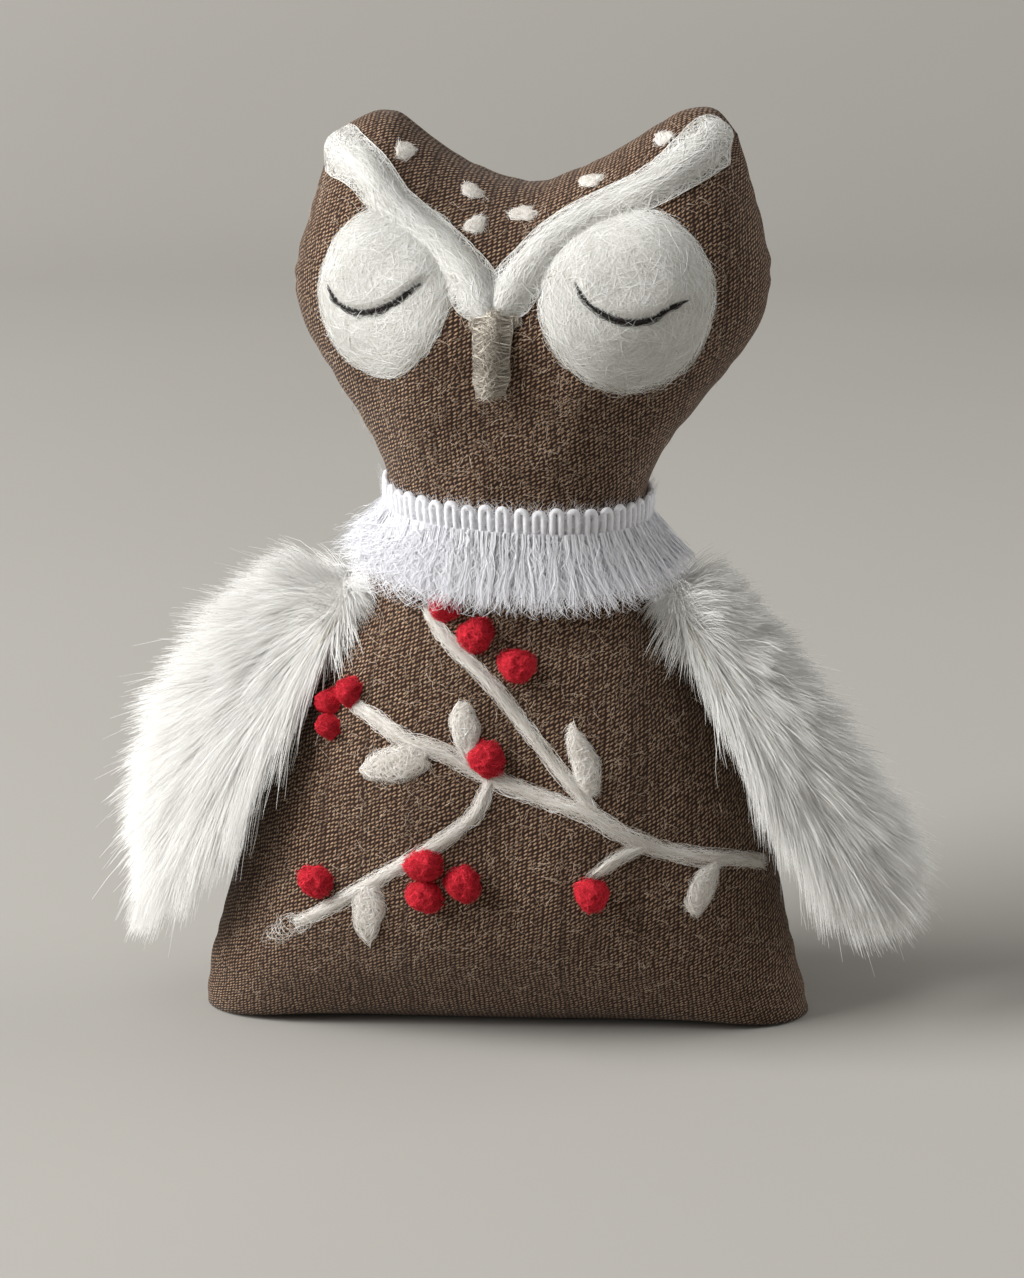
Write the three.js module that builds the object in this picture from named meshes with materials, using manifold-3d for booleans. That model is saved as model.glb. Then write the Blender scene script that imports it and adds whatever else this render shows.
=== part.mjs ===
// A hand-sewn cloth owl: two cover panels over a base gusset, stuffing and a weight pouch,
// a felted wool face and berry sprig, a cotton fringe round the neck and two fur wings.
// Millimetres, +Z up. The owl faces -Y and stands on z = 0 with its base centred on the origin.
// Left and right are those of a person who faces the owl, so left is -X.

import * as THREE from 'three';
import { mergeVertices } from 'three/addons/utils/BufferGeometryUtils.js';
import Module from 'manifold-3d';

const wasm = await Module();
wasm.setup();

// The whole toy
const height = 244;
const baseWidth = 167;
const neckWidth = 68;
const headWidth = 124;
const baseDepth = 54;
const bellyDepth = 73;
const neckDepth = 54;
const headDepth = 66;
const headLean = 10.4;
const headTurnAngle = THREE.MathUtils.degToRad(-7);
const valleyDepth = 16;
const baseArch = 14;
const standDepth = 26;

// Cloth, stuffing and the clearances between layers
const coverThickness = 0.9;
const gussetThickness = 1;
const seamGap = 0.3;
const stuffingGap = 0.5;
const feltGap = 0.5;
const cutGap = 0.3;

// Level of a row, then how far its width has gone from neck to base and to head, how far its
// depth has gone from neck to base, to belly and to head, and how far it leans with the head.
const rowShares = [
  [0, 1, 0, 1, 0, 0, 0],
  [0.045, 0.96, 0, 0.5, 0.42, 0, -0.05],
  [0.1, 0.89, 0, 0.1, 0.79, 0, -0.03],
  [0.16, 0.82, 0, 0, 1, 0, 0.05],
  [0.25, 0.7, 0, 0, 1, 0, 0.14],
  [0.34, 0.535, 0, 0, 0.79, 0, 0.21],
  [0.42, 0.333, 0, 0, 0.53, 0, 0.29],
  [0.5, 0.11, 0, 0, 0.21, 0, 0.41],
  [0.56, 0, 0, 0, 0, 0, 0.5],
  [0.61, 0, 0, 0, 0, 0, 0.58],
  [0.66, 0, 0.18, 0, 0, 0.25, 0.67],
  [0.72, 0, 0.535, 0, 0, 0.67, 0.79],
  [0.79, 0, 0.91, 0, 0, 1, 0.9],
  [0.85, 0, 1, 0, 0, 1, 0.94],
  [0.91, 0, 0.89, 0, 0, 0.83, 0.98],
  [0.96, 0, 0.77, 0, 0, 0.5, 1],
  [1, 0, 0.68, 0, 0, 0.17, 1],
];

// Top line of the head: place across, then the drop as a share of the valley between the ears.
const topLineShares = [
  [-1, -0.375], [-0.86, -0.03], [-0.68, 0.11], [-0.5, -0.31], [-0.3, -0.72], [0, -1],
  [0.2, -0.81], [0.4, -0.5], [0.6, -0.09], [0.76, 0.19], [0.9, 0.17], [1, -0.19],
];

const sectionPower = 2.5;
const crownPower = 2.3;
const archPower = 4;
const crownStartShare = 0.8;
const archEndShare = 0.28;
const dipStartShare = 0.66;
const turnStartShare = 0.55;
const turnEndShare = 0.75;

// How finely the cover and the stuffing are faceted
const panelColumns = 20;
const lowerRows = 16;
const crownRows = 7;

const colours = {
  cover: '#6b5647', wool: '#e8e6df', lid: '#1d1b1b', beak: '#8d8274', berry: '#c21f2b',
  fringe: '#f4f4f6', pelt: '#d9d6cc', fur: '#ecebe4', stuffing: '#f2f0ea', pouch: '#cfc6b4',
};

const owl = new THREE.Group();

function add(name, geometry, colour) {
  const material = new THREE.MeshStandardMaterial({ color: colour, roughness: 0.95, metalness: 0 });
  const mesh = new THREE.Mesh(geometry, material);
  mesh.name = name;
  owl.add(mesh);
}

// Curves through tables

// The smooth curve through a table whose column 0 holds the places.
function through(table, column, place) {
  const last = table.length - 1;
  let index = 0;
  while (index < last - 1 && place > table[index + 1][0]) index += 1;
  const slopeAt = (row) => {
    const before = table[Math.max(row - 1, 0)];
    const after = table[Math.min(row + 1, last)];
    return (after[column] - before[column]) / (after[0] - before[0]);
  };
  const span = table[index + 1][0] - table[index][0];
  const t = (place - table[index][0]) / span;
  const rise = table[index + 1][column] - table[index][column];
  const start = span * slopeAt(index);
  const end = span * slopeAt(index + 1);
  return table[index][column] + t * start
    + t * t * (3 * rise - 2 * start - end) + t * t * t * (start + end - 2 * rise);
}

function smooth(t) {
  const held = THREE.MathUtils.clamp(t, 0, 1);
  return held * held * (3 - 2 * held);
}

// The cover's surface

const archAt = (a) => baseArch * (1 - Math.abs(a) ** archPower) ** 2;

// A point of the cover: a runs across from -1 to 1, b up from 0 to 1, side is -1 in front and
// 1 behind, and swell moves the surface outwards.
function cover(a, b, side, swell = 0) {
  const row = rowShares[0].map((_, column) => through(rowShares, column, b));
  const halfWidth = (neckWidth + row[1] * (baseWidth - neckWidth) + row[2] * (headWidth - neckWidth)) / 2;
  const halfDepth = (neckDepth + row[3] * (baseDepth - neckDepth) + row[4] * (bellyDepth - neckDepth)
    + row[5] * (headDepth - neckDepth)) / 2;
  const crown = Math.max(0, (b - crownStartShare) / (1 - crownStartShare));
  const section = Math.sqrt(Math.max(0, 1 - Math.abs(a) ** sectionPower));
  const closing = Math.sqrt(Math.max(0, 1 - crown ** crownPower));
  const x = a * (halfWidth + swell);
  const y = side * (halfDepth + swell) * section * closing;
  const rim = gussetThickness + seamGap;
  const z = rim + (height - rim) * b + archAt(a) * Math.max(0, 1 - b / archEndShare) ** 2
    + valleyDepth * through(topLineShares, 1, a) * smooth((b - dipStartShare) / (1 - dipStartShare))
    + swell * crown * crown;
  const turn = headTurnAngle * smooth((b - turnStartShare) / (turnEndShare - turnStartShare));
  return new THREE.Vector3(
    headLean * row[6] + x * Math.cos(turn) - y * Math.sin(turn),
    x * Math.sin(turn) + y * Math.cos(turn),
    z,
  );
}

// The same, drawn back by half the gap of the side seam.
function panelPoint(a, b, side, swell = 0) {
  const point = cover(a, b, side, swell);
  point.y += side * seamGap / 2;
  return point;
}

// Places from -1 to 1, closer together towards both ends.
function crowded(count) {
  return Array.from({ length: count + 1 }, (_, i) => -Math.cos(Math.PI * i / count));
}

function evenly(count) {
  return Array.from({ length: count + 1 }, (_, i) => i / count);
}

// Levels of the cover's rows, closer together towards the top seam.
const levels = [
  ...evenly(lowerRows).map((t) => crownStartShare * t),
  ...evenly(crownRows).slice(1).map((t) => crownStartShare
    + (1 - crownStartShare) * Math.sin(Math.PI / 2 * t)),
];

// A closed line round the toy: across the front from left to right, then back behind it.
function girth(columns, pointAt) {
  const places = crowded(columns);
  const front = places.map((a) => pointAt(a, -1));
  const back = places.slice(1, -1).reverse().map((a) => pointAt(a, 1));
  return [...front, ...back];
}

// Closed meshes from rows of points

function volumeOf(points, faces) {
  return faces.reduce((sum, [a, b, c]) => sum
    + points[a].dot(new THREE.Vector3().crossVectors(points[b], points[c])), 0) / 6;
}

// Joins points that coincide, drops the faces that vanish and turns the rest outwards.
function closed(points, faces) {
  const turned = volumeOf(points, faces) < 0 ? faces.map(([a, b, c]) => [a, c, b]) : faces;
  const loose = new THREE.BufferGeometry();
  const corners = turned.flat().flatMap((i) => points[i].toArray());
  loose.setAttribute('position', new THREE.Float32BufferAttribute(corners, 3));
  const joined = mergeVertices(loose);
  const index = Array.from(joined.index.array);
  const kept = [];
  for (let i = 0; i < index.length; i += 3) {
    const [a, b, c] = index.slice(i, i + 3);
    if (a !== b && b !== c && c !== a) kept.push(a, b, c);
  }
  joined.setIndex(kept);
  return joined;
}

// A layer between two like grids of points. It wraps when its last column meets its first.
function slab(top, bottom, wraps = false) {
  const rows = top.length;
  const columns = top[0].length;
  const last = rows - 1;
  const edge = columns - 1;
  const at = (layer, row, column) => (layer * rows + row) * columns + column % columns;
  const faces = [];
  const quad = (a, b, c, d) => faces.push([a, b, c], [a, c, d]);
  for (let c = 0; c < (wraps ? columns : edge); c += 1) {
    for (let r = 0; r < last; r += 1) {
      quad(at(0, r, c), at(0, r, c + 1), at(0, r + 1, c + 1), at(0, r + 1, c));
      quad(at(1, r, c), at(1, r + 1, c), at(1, r + 1, c + 1), at(1, r, c + 1));
    }
    quad(at(1, 0, c), at(1, 0, c + 1), at(0, 0, c + 1), at(0, 0, c));
    quad(at(0, last, c), at(0, last, c + 1), at(1, last, c + 1), at(1, last, c));
  }
  for (let r = 0; r < last && !wraps; r += 1) {
    quad(at(0, r, 0), at(0, r + 1, 0), at(1, r + 1, 0), at(1, r, 0));
    quad(at(1, r, edge), at(1, r + 1, edge), at(0, r + 1, edge), at(0, r, edge));
  }
  return closed([...top.flat(), ...bottom.flat()], faces);
}

// A form through closed rings of points. A ring of one point is a pole.
function stack(rings) {
  const starts = rings.map((_, i) => rings.slice(0, i).reduce((sum, ring) => sum + ring.length, 0));
  const faces = [];
  for (let r = 0; r + 1 < rings.length; r += 1) {
    const [low, high] = [rings[r].length, rings[r + 1].length];
    for (let c = 0; c < Math.max(low, high); c += 1) {
      const next = c + 1;
      if (low > 1) faces.push([starts[r] + c, starts[r] + next % low, starts[r + 1] + next % high]);
      if (high > 1) faces.push([starts[r] + c % low, starts[r + 1] + next % high, starts[r + 1] + c]);
    }
  }
  return closed(rings.flat(), faces);
}

function middleOf(ring) {
  return ring.reduce((sum, point) => sum.add(point), new THREE.Vector3()).divideScalar(ring.length);
}

function solidOf(geometry) {
  return new wasm.Manifold(new wasm.Mesh({
    numProp: 3,
    vertProperties: new Float32Array(geometry.attributes.position.array),
    triVerts: new Uint32Array(geometry.index.array),
  }));
}

// What is left of a piece clear of the others: its largest part, should a cut divide it.
function trimmed(geometry, others) {
  const cut = others.reduce((body, other) => body.subtract(solidOf(other)), solidOf(geometry));
  const parts = cut.decompose().sort((one, two) => two.volume() - one.volume());
  const mesh = parts[0].getMesh();
  const result = new THREE.BufferGeometry();
  result.setAttribute('position', new THREE.Float32BufferAttribute(mesh.vertProperties, 3));
  result.setIndex(Array.from(mesh.triVerts));
  return result;
}

// Cover panels: one cloth outline, cut twice and sewn along the sides and over the head

function panel(side) {
  const grid = (swell) => levels.map((b) => crowded(panelColumns)
    .map((a) => panelPoint(a, b, side, swell)));
  return slab(grid(0), grid(-coverThickness));
}

add('front_panel', panel(-1), colours.cover);
add('back_panel', panel(1), colours.cover);

// Base gusset: a boat-shaped piece, flat where it stands and drawn up to the two bottom seams

const gussetPower = 1.5;
const gussetSteps = 3;
const flatShare = standDepth / baseDepth;
const gussetRise = (t) => (Math.max(0, Math.abs(t) - flatShare) / (1 - flatShare)) ** gussetPower;
const slopeStops = evenly(gussetSteps).map((t) => flatShare + t * (1 - flatShare));
const gussetStops = [...slopeStops.map((t) => -t).reverse(), 0, ...slopeStops];

function gussetPoint(a, t, lift, swell = 0) {
  const rim = cover(a, 0, -1, swell);
  return new THREE.Vector3(rim.x, -t * rim.y, archAt(a) * gussetRise(t) + lift);
}

function gussetGrid(lift) {
  return gussetStops.map((t) => crowded(panelColumns).map((a) => gussetPoint(a, t, lift)));
}

add('base_gusset', slab(gussetGrid(gussetThickness), gussetGrid(0)), colours.cover);

// Weight pouch: a flat bag of pellets that keeps the narrow base down

const pouchWidth = 100;
const pouchDepth = 32;
const pouchHeight = 18;
const pouchColumns = 10;
// Level of each ring of the pouch, then its width and its depth.
const pouchShares = [[0, 0.86, 0.66], [0.15, 0.97, 0.86], [0.5, 1, 1], [0.8, 0.92, 0.86], [1, 0.66, 0.5]];

function pouchForm(grow) {
  const floor = gussetThickness + stuffingGap - grow;
  const rings = pouchShares.map(([level, wide, deep]) => girth(pouchColumns, (a, side) => {
    const across = a * (wide * pouchWidth / 2 + grow);
    const reach = Math.sqrt(Math.max(0, 1 - Math.abs(a) ** sectionPower));
    const along = side * reach * (deep * pouchDepth / 2 + grow);
    return new THREE.Vector3(across, along, floor + level * (pouchHeight + 2 * grow));
  }));
  return stack([[middleOf(rings[0])], ...rings, [middleOf(rings[rings.length - 1])]]);
}

add('weight_pouch', pouchForm(0), colours.pouch);

// Stuffing: the body and the head as swelling forms that meet at one row of the neck

const neckRow = 12;
const stuffingInset = -(coverThickness + stuffingGap);
const stuffingRing = (b) => girth(panelColumns, (a, side) => cover(a, b, side, stuffingInset));

function bodyStuffing() {
  const lift = gussetThickness + stuffingGap;
  const floorStops = [0, ...slopeStops];
  const floor = floorStops.map((t) => girth(panelColumns, (a, side) => gussetPoint(
    a, side * t, lift, stuffingInset)));
  const rings = levels.slice(1, neckRow + 1).map(stuffingRing);
  const top = [middleOf(rings[rings.length - 1])];
  return trimmed(stack([...floor, ...rings, top]), [pouchForm(stuffingGap)]);
}

function headStuffing() {
  const rings = levels.slice(neckRow).map(stuffingRing);
  rings[0].forEach((point) => { point.z += stuffingGap; });
  return stack([[middleOf(rings[0])], ...rings]);
}

add('body_stuffing', bodyStuffing(), colours.stuffing);
add('head_stuffing', headStuffing(), colours.stuffing);

// Thread

function thread(points, diameter, stepsEach) {
  const section = new THREE.Shape();
  section.absarc(0, 0, diameter / 2, 0, 2 * Math.PI);
  const geometry = new THREE.ExtrudeGeometry(section, {
    steps: stepsEach * (points.length - 1),
    curveSegments: 2,
    extrudePath: new THREE.CatmullRomCurve3(points),
  });
  geometry.deleteAttribute('normal');
  geometry.deleteAttribute('uv');
  return mergeVertices(geometry);
}

// Closing stitches: they zigzag over the back bottom seam, where the toy was filled

const closingThread = 0.8;
const closingStitches = 9;
const closingReachShare = 0.3;
const closingRise = 2.6;

function closingPath() {
  const swell = closingThread / 2 + feltGap + seamGap;
  return evenly(2 * closingStitches).map((t, i) => {
    const a = closingReachShare * (2 * t - 1);
    const point = cover(a, i % 2 ? closingRise / height : 0, 1, swell);
    if (i % 2 === 0) point.z -= gussetThickness;
    return point;
  });
}

add('closing_stitches', thread(closingPath(), closingThread, 2), colours.cover);

// Felt on the front panel: every piece is settled on the cloth from a place on it

const nudgeShare = 0.001;
const edgeShare = 0.975;
const rimShare = 0.012;
const newtonSteps = 6;

const front = (a, b) => panelPoint(a, b, -1);

function slopes(a, b) {
  const alongA = front(a + nudgeShare, b).sub(front(a - nudgeShare, b)).divideScalar(2 * nudgeShare);
  const alongB = front(a, b + nudgeShare).sub(front(a, b - nudgeShare)).divideScalar(2 * nudgeShare);
  const out = new THREE.Vector3().crossVectors(alongA, alongB).normalize();
  return { alongA, alongB, out };
}

// A place on the front panel with its outward, level and upward directions.
function placeAt([a, b]) {
  const { out } = slopes(a, b);
  const level = new THREE.Vector3(-out.y, out.x, 0).normalize();
  const upward = new THREE.Vector3().crossVectors(out, level);
  return { a, b, point: front(a, b), out, level, upward };
}

// The cloth under a spot that lies so far level and upward of a place, lifted off the cloth.
function settle(place, right, rise, lift) {
  let { a, b } = place;
  for (let step = 0; step < newtonSteps; step += 1) {
    const { alongA, alongB } = slopes(a, b);
    const offset = front(a, b).sub(place.point);
    const missRight = right - offset.dot(place.level);
    const missRise = rise - offset.dot(place.upward);
    const [aRight, aRise] = [alongA.dot(place.level), alongA.dot(place.upward)];
    const [bRight, bRise] = [alongB.dot(place.level), alongB.dot(place.upward)];
    const area = aRight * bRise - aRise * bRight;
    a = THREE.MathUtils.clamp(a + (missRight * bRise - missRise * bRight) / area, -edgeShare, edgeShare);
    b = THREE.MathUtils.clamp(b + (missRise * aRight - missRight * aRise) / area, rimShare, 1 - rimShare);
  }
  return front(a, b).addScaledVector(slopes(a, b).out, lift);
}

// The shares across and up of the place on the cloth nearest to a spot.
function nearestShare(spot, [startA, startB]) {
  let [a, b] = [startA, startB];
  for (let step = 0; step < newtonSteps; step += 1) {
    const { alongA, alongB } = slopes(a, b);
    const miss = spot.clone().sub(front(a, b));
    const [aa, ab, bb] = [alongA.dot(alongA), alongA.dot(alongB), alongB.dot(alongB)];
    const [ma, mb] = [miss.dot(alongA), miss.dot(alongB)];
    const area = aa * bb - ab * ab;
    a += (ma * bb - mb * ab) / area;
    b += (mb * aa - ma * ab) / area;
  }
  return [a, b];
}

// Rings of a flat disc and of a small dome, from under its middle out to the rim and back over
// the top: share of the radius, then share of the thickness.
const discShares = [[0, 0], [0.25, 0], [0.5, 0], [0.75, 0], [1, 0],
  [1, 0.5], [0.93, 1], [0.72, 1], [0.48, 1], [0.24, 1], [0, 1]];
const domeShares = [[0, 0], [0.6, 0], [1, 0], [1, 0.3], [0.84, 0.75], [0.48, 0.97], [0, 1]];

// A felt patch: an oval or a pointed leaf, settled ring by ring. Grow makes the larger copy that
// trims its neighbours.
function patch(piece, grow = 0) {
  const { atShares, wide, tall, thick, sides, turn = 0, point = 0, ringShares = domeShares } = piece;
  const place = placeAt(atShares);
  const lowest = feltGap - grow;
  const ring = (share, lift) => (share === 0 ? [0] : evenly(sides).slice(1)).map((t) => {
    const angle = 2 * Math.PI * t;
    const along = share * (tall / 2 + grow) * Math.sin(angle);
    const beside = share * (wide / 2 + grow) * Math.cos(angle) * Math.abs(Math.cos(angle)) ** point;
    const right = beside * Math.cos(turn) - along * Math.sin(turn);
    const rise = beside * Math.sin(turn) + along * Math.cos(turn);
    return settle(place, right, rise, lift);
  });
  return stack(ringShares.map(([share, up]) => ring(share, lowest + up * (thick + 2 * grow))));
}

const lateralShares = [-1, -0.5, 0, 0.5, 1];
const stripRoundShare = 0.7;

// A felt strip along a path on the cloth. Widths, heights and lifts follow the way along it.
function strip(piece, grow = 0) {
  const { pathShares, wide, thick, steps, along, lift = () => 0 } = piece;
  const knots = pathShares.map(([a, b]) => new THREE.Vector3(a, b, 0));
  const curve = new THREE.CatmullRomCurve3(knots, false, 'centripetal');
  const stations = evenly(steps).map((t) => {
    const spot = curve.getPoint(t);
    const place = placeAt([spot.x, spot.y]);
    const before = curve.getPoint(Math.max(0, t - nudgeShare));
    const after = curve.getPoint(Math.min(1, t + nudgeShare));
    const way = front(after.x, after.y).sub(front(before.x, before.y));
    const heading = Math.atan2(way.dot(place.upward), way.dot(place.level));
    return { t, place, heading };
  });
  const grid = (raised) => stations.map(({ t, place, heading }) => lateralShares.map((q) => {
    const reach = q * (wide * along(t) / 2 + grow);
    const dome = thick * Math.sqrt(along(t)) * (1 - stripRoundShare * q * q) + 2 * grow;
    const raise = feltGap + lift(t) - grow + raised * dome;
    return settle(place, -reach * Math.sin(heading), reach * Math.cos(heading), raise);
  }));
  return slab(grid(1), grid(0));
}

// How wide a strip is along its path, from a table of places and shares of its full width.
const shaped = (shares) => (t) => through(shares, 1, t);

// Brows: two felt bands that run down from the ears into a V over the beak

const browWidth = 9.5;
const browThickness = 1.3;
const browShares = [[0, 1], [0.5, 1], [0.8, 0.86], [1, 0.62]];
const browPathShares = {
  left: [[-0.9, 0.978], [-0.8, 0.955], [-0.66, 0.945], [-0.52, 0.942], [-0.38, 0.94], [-0.24, 0.926],
    [-0.13, 0.894], [-0.09, 0.866]],
  right: [[0.9, 0.982], [0.84, 0.962], [0.74, 0.952], [0.6, 0.951], [0.42, 0.957], [0.25, 0.956],
    [0.12, 0.94], [0.04, 0.911], [-0.01, 0.884]],
};

const browForms = [];
for (const [side, pathShares] of Object.entries(browPathShares)) {
  const brow = { pathShares, wide: browWidth, thick: browThickness, steps: 12, along: shaped(browShares) };
  add(`brow_${side}`, trimmed(strip(brow), browForms), colours.wool);
  browForms.push(strip(brow, cutGap));
}

// Eye discs, tucked under the brows, and the closed lids stitched across them

const eyeThickness = 1.2;
const eyeSides = 16;
const lidWidth = 1.9;
const lidThickness = 0.9;
const lidShares = [[0, 0.35], [0.15, 0.75], [0.35, 1], [0.65, 1], [0.85, 0.75], [1, 0.35]];
const eyes = {
  left: {
    atShares: [-0.515, 0.847],
    wide: 38.5,
    tall: 43.5,
    lidPathShares: [[-0.72, -0.02], [-0.55, -0.16], [-0.25, -0.24], [0.05, -0.2], [0.3, -0.08],
      [0.52, 0.08]],
  },
  right: {
    atShares: [0.495, 0.85],
    wide: 44.5,
    tall: 46,
    lidPathShares: [[-0.54, 0.1], [-0.43, -0.06], [-0.25, -0.18], [0, -0.25], [0.28, -0.22],
      [0.5, -0.1], [0.64, -0.04]],
  },
};

const eyeDisc = (eye, grow) => patch({
  ...eye, thick: eyeThickness, sides: eyeSides, ringShares: discShares,
}, grow);

// A spot given by shares of an eye's half width and half height, as shares of the cloth.
function onEye(eye, [right, rise]) {
  const spot = settle(placeAt(eye.atShares), right * eye.wide / 2, rise * eye.tall / 2, 0);
  return nearestShare(spot, eye.atShares);
}

const eyeDiscs = [];
for (const [side, eye] of Object.entries(eyes)) {
  add(`eye_disc_${side}`, trimmed(eyeDisc(eye, 0), browForms), colours.wool);
  eyeDiscs.push(eyeDisc(eye, cutGap));
  const lid = {
    pathShares: eye.lidPathShares.map((shares) => onEye(eye, shares)),
    wide: lidWidth,
    thick: lidThickness,
    steps: 10,
    along: shaped(lidShares),
    lift: () => eyeThickness + feltGap,
  };
  add(`eyelid_${side}`, strip(lid), colours.lid);
}

// Beak: a folded felt tongue, fixed at the top and free at its tip

const beakWidth = 9.5;
const beakThickness = 3.4;
const beakTipLift = 2.2;
const beakShares = [[0, 0.55], [0.15, 0.85], [0.35, 1], [0.6, 0.94], [0.85, 0.7], [1, 0.3]];
const beak = {
  pathShares: [[-0.045, 0.853], [-0.046, 0.822], [-0.044, 0.785], [-0.041, 0.742]],
  wide: beakWidth,
  thick: beakThickness,
  steps: 10,
  along: shaped(beakShares),
  lift: (t) => beakTipLift * t * t,
};

add('beak', trimmed(strip(beak), [...browForms, ...eyeDiscs]), colours.beak);

// Forehead spots

const spotThickness = 1.4;
const spotSides = 8;
const spots = [
  { atShares: [-0.56, 0.982], wide: 6, tall: 5 },
  { atShares: [-0.24, 0.984], wide: 5.4, tall: 5 },
  { atShares: [-0.19, 0.957], wide: 5.2, tall: 5.2 },
  { atShares: [0.01, 0.976], wide: 6.4, tall: 5.6 },
  { atShares: [0.32, 0.986], wide: 8.5, tall: 3.6 },
  { atShares: [0.66, 0.986], wide: 6.5, tall: 3.4 },
];

spots.forEach((spot, i) => {
  const piece = { ...spot, thick: spotThickness, sides: spotSides };
  add(`forehead_spot_${i + 1}`, trimmed(patch(piece), browForms), colours.wool);
});

// Fringe: a looped header band round the neck and a skirt of cotton strands below it

const headerLevelShare = 0.594;
const headerTiltShare = 0.008;
const headerHeight = 6.6;
const headerThickness = 1.8;
const headerGap = 0.8;
const headerRoundShare = 0.6;
const strandLength = 18;
const skirtThickness = 1.4;
const skirtTaperShare = 0.35;
const frontFlare = 2.4;
const sideFlare = 5.5;
const sideRiseShare = 0.33;
const skirtRows = 3;

const headerLevel = (a, t) => headerLevelShare - headerTiltShare * a + (t - 0.5) * headerHeight / height;

function fringeHeader() {
  const grid = (thickness) => [0, 0.5, 1].map((t) => girth(panelColumns, (a, side) => {
    const rounded = t === 0.5 ? 1 : headerRoundShare;
    return cover(a, headerLevel(a, t), side, headerGap + thickness * rounded);
  }));
  return slab(grid(headerThickness), grid(0), true);
}

function fringeSkirt(grow = 0) {
  const grid = (thickness) => evenly(skirtRows).map((t) => girth(panelColumns, (a, side) => {
    const fall = strandLength * t * (1 - sideRiseShare * a ** 4) + feltGap + (2 * t - 1) * grow;
    const flare = (frontFlare + (sideFlare - frontFlare) * a * a) * t;
    const swell = headerGap + flare + thickness * (1 - skirtTaperShare * t);
    return cover(a, headerLevel(a, 0) - fall / height, side, swell + (thickness ? grow : -grow));
  }));
  return slab(grid(skirtThickness), grid(0), true);
}

add('fringe_header', fringeHeader(), colours.fringe);
add('fringe_skirt', fringeSkirt(), colours.fringe);

// Sprig: four felt stems, each trimmed by those before it

const stemThickness = 1.3;
const stemShares = [[0, 0.4], [0.06, 0.9], [0.15, 1], [0.85, 1], [0.94, 0.85], [1, 0.4]];
const stems = {
  stem_main: {
    wide: 4.4,
    steps: 18,
    pathShares: [[-0.68, 0.386], [-0.57, 0.376], [-0.42, 0.36], [-0.25, 0.348], [-0.13, 0.333],
      [0.01, 0.315], [0.19, 0.297], [0.35, 0.282], [0.47, 0.258], [0.61, 0.234], [0.75, 0.218],
      [0.89, 0.205], [0.95, 0.193]],
  },
  stem_upper: {
    wide: 3.6,
    steps: 11,
    pathShares: [[-0.48, 0.491], [-0.27, 0.459], [-0.05, 0.423], [0.14, 0.37], [0.28, 0.321],
      [0.36, 0.292]],
  },
  stem_lower: {
    wide: 4,
    steps: 13,
    pathShares: [[-0.03, 0.317], [-0.07, 0.286], [-0.14, 0.263], [-0.25, 0.238], [-0.37, 0.211],
      [-0.47, 0.185], [-0.57, 0.157], [-0.66, 0.134]],
  },
  stem_side: {
    wide: 4,
    steps: 7,
    pathShares: [[0.57, 0.24], [0.46, 0.229], [0.38, 0.212]],
  },
};

const sprigForms = [fringeSkirt(cutGap)];
for (const [name, stem] of Object.entries(stems)) {
  const piece = { ...stem, thick: stemThickness, along: shaped(stemShares) };
  add(name, trimmed(strip(piece), sprigForms), colours.wool);
  sprigForms.push(strip(piece, cutGap));
}

// Leaves: each grows from its root on a stem, at an angle counted from level to the right

const leafThickness = 1.6;
// How sharply a leaf comes to its two points: none at 0.
const leafPoint = 0.35;
const leafSides = 10;
const leaves = [
  { rootShares: [-0.28, 0.344], length: 21, wide: 8.5, angle: 197 },
  { rootShares: [-0.11, 0.338], length: 15.5, wide: 7.5, angle: 101 },
  { rootShares: [0.375, 0.298], length: 19.5, wide: 6.5, angle: 102 },
  { rootShares: [-0.462, 0.192], length: 17, wide: 9, angle: 269 },
  { rootShares: [0.8, 0.214], length: 17, wide: 6.5, angle: 242 },
];

leaves.forEach(({ rootShares, length, wide, angle }, i) => {
  const turn = THREE.MathUtils.degToRad(angle - 90);
  const spot = settle(placeAt(rootShares), -length / 2 * Math.sin(turn), length / 2 * Math.cos(turn), 0);
  const piece = {
    atShares: nearestShare(spot, rootShares),
    wide,
    tall: length,
    turn,
    point: leafPoint,
    thick: leafThickness,
    sides: leafSides,
  };
  add(`leaf_${i + 1}`, trimmed(patch(piece), sprigForms), colours.wool);
  sprigForms.push(patch(piece, cutGap));
});

// Berries: felted domes seated over stems, leaves and each other

const berryHeight = 4.4;
const berrySides = 9;
const berries = [
  { atShares: [-0.4, 0.502], wide: 8.5 },
  { atShares: [-0.165, 0.473], wide: 9.5 },
  { atShares: [0.085, 0.441], wide: 9.5 },
  { atShares: [-0.745, 0.4], wide: 7.5 },
  { atShares: [-0.82, 0.383], wide: 7 },
  { atShares: [-0.775, 0.36], wide: 6.5 },
  { atShares: [-0.05, 0.34], wide: 10.5 },
  { atShares: [-0.26, 0.219], wide: 10 },
  { atShares: [-0.114, 0.195], wide: 10 },
  { atShares: [-0.245, 0.178], wide: 9.5 },
  { atShares: [-0.652, 0.186], wide: 9.5 },
  { atShares: [0.347, 0.182], wide: 9.5 },
];

berries.forEach(({ atShares, wide }, i) => {
  const piece = { atShares, wide, tall: wide, thick: berryHeight, sides: berrySides };
  add(`berry_${i + 1}`, trimmed(patch(piece), sprigForms), colours.berry);
  sprigForms.push(patch(piece, cutGap));
});

// Wings: a tongue of fur cloth hinged along its top edge at each shoulder. In a wing's own frame
// s runs down the cloth from the hinge, v across it from back to front and n out of its pile.

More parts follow.
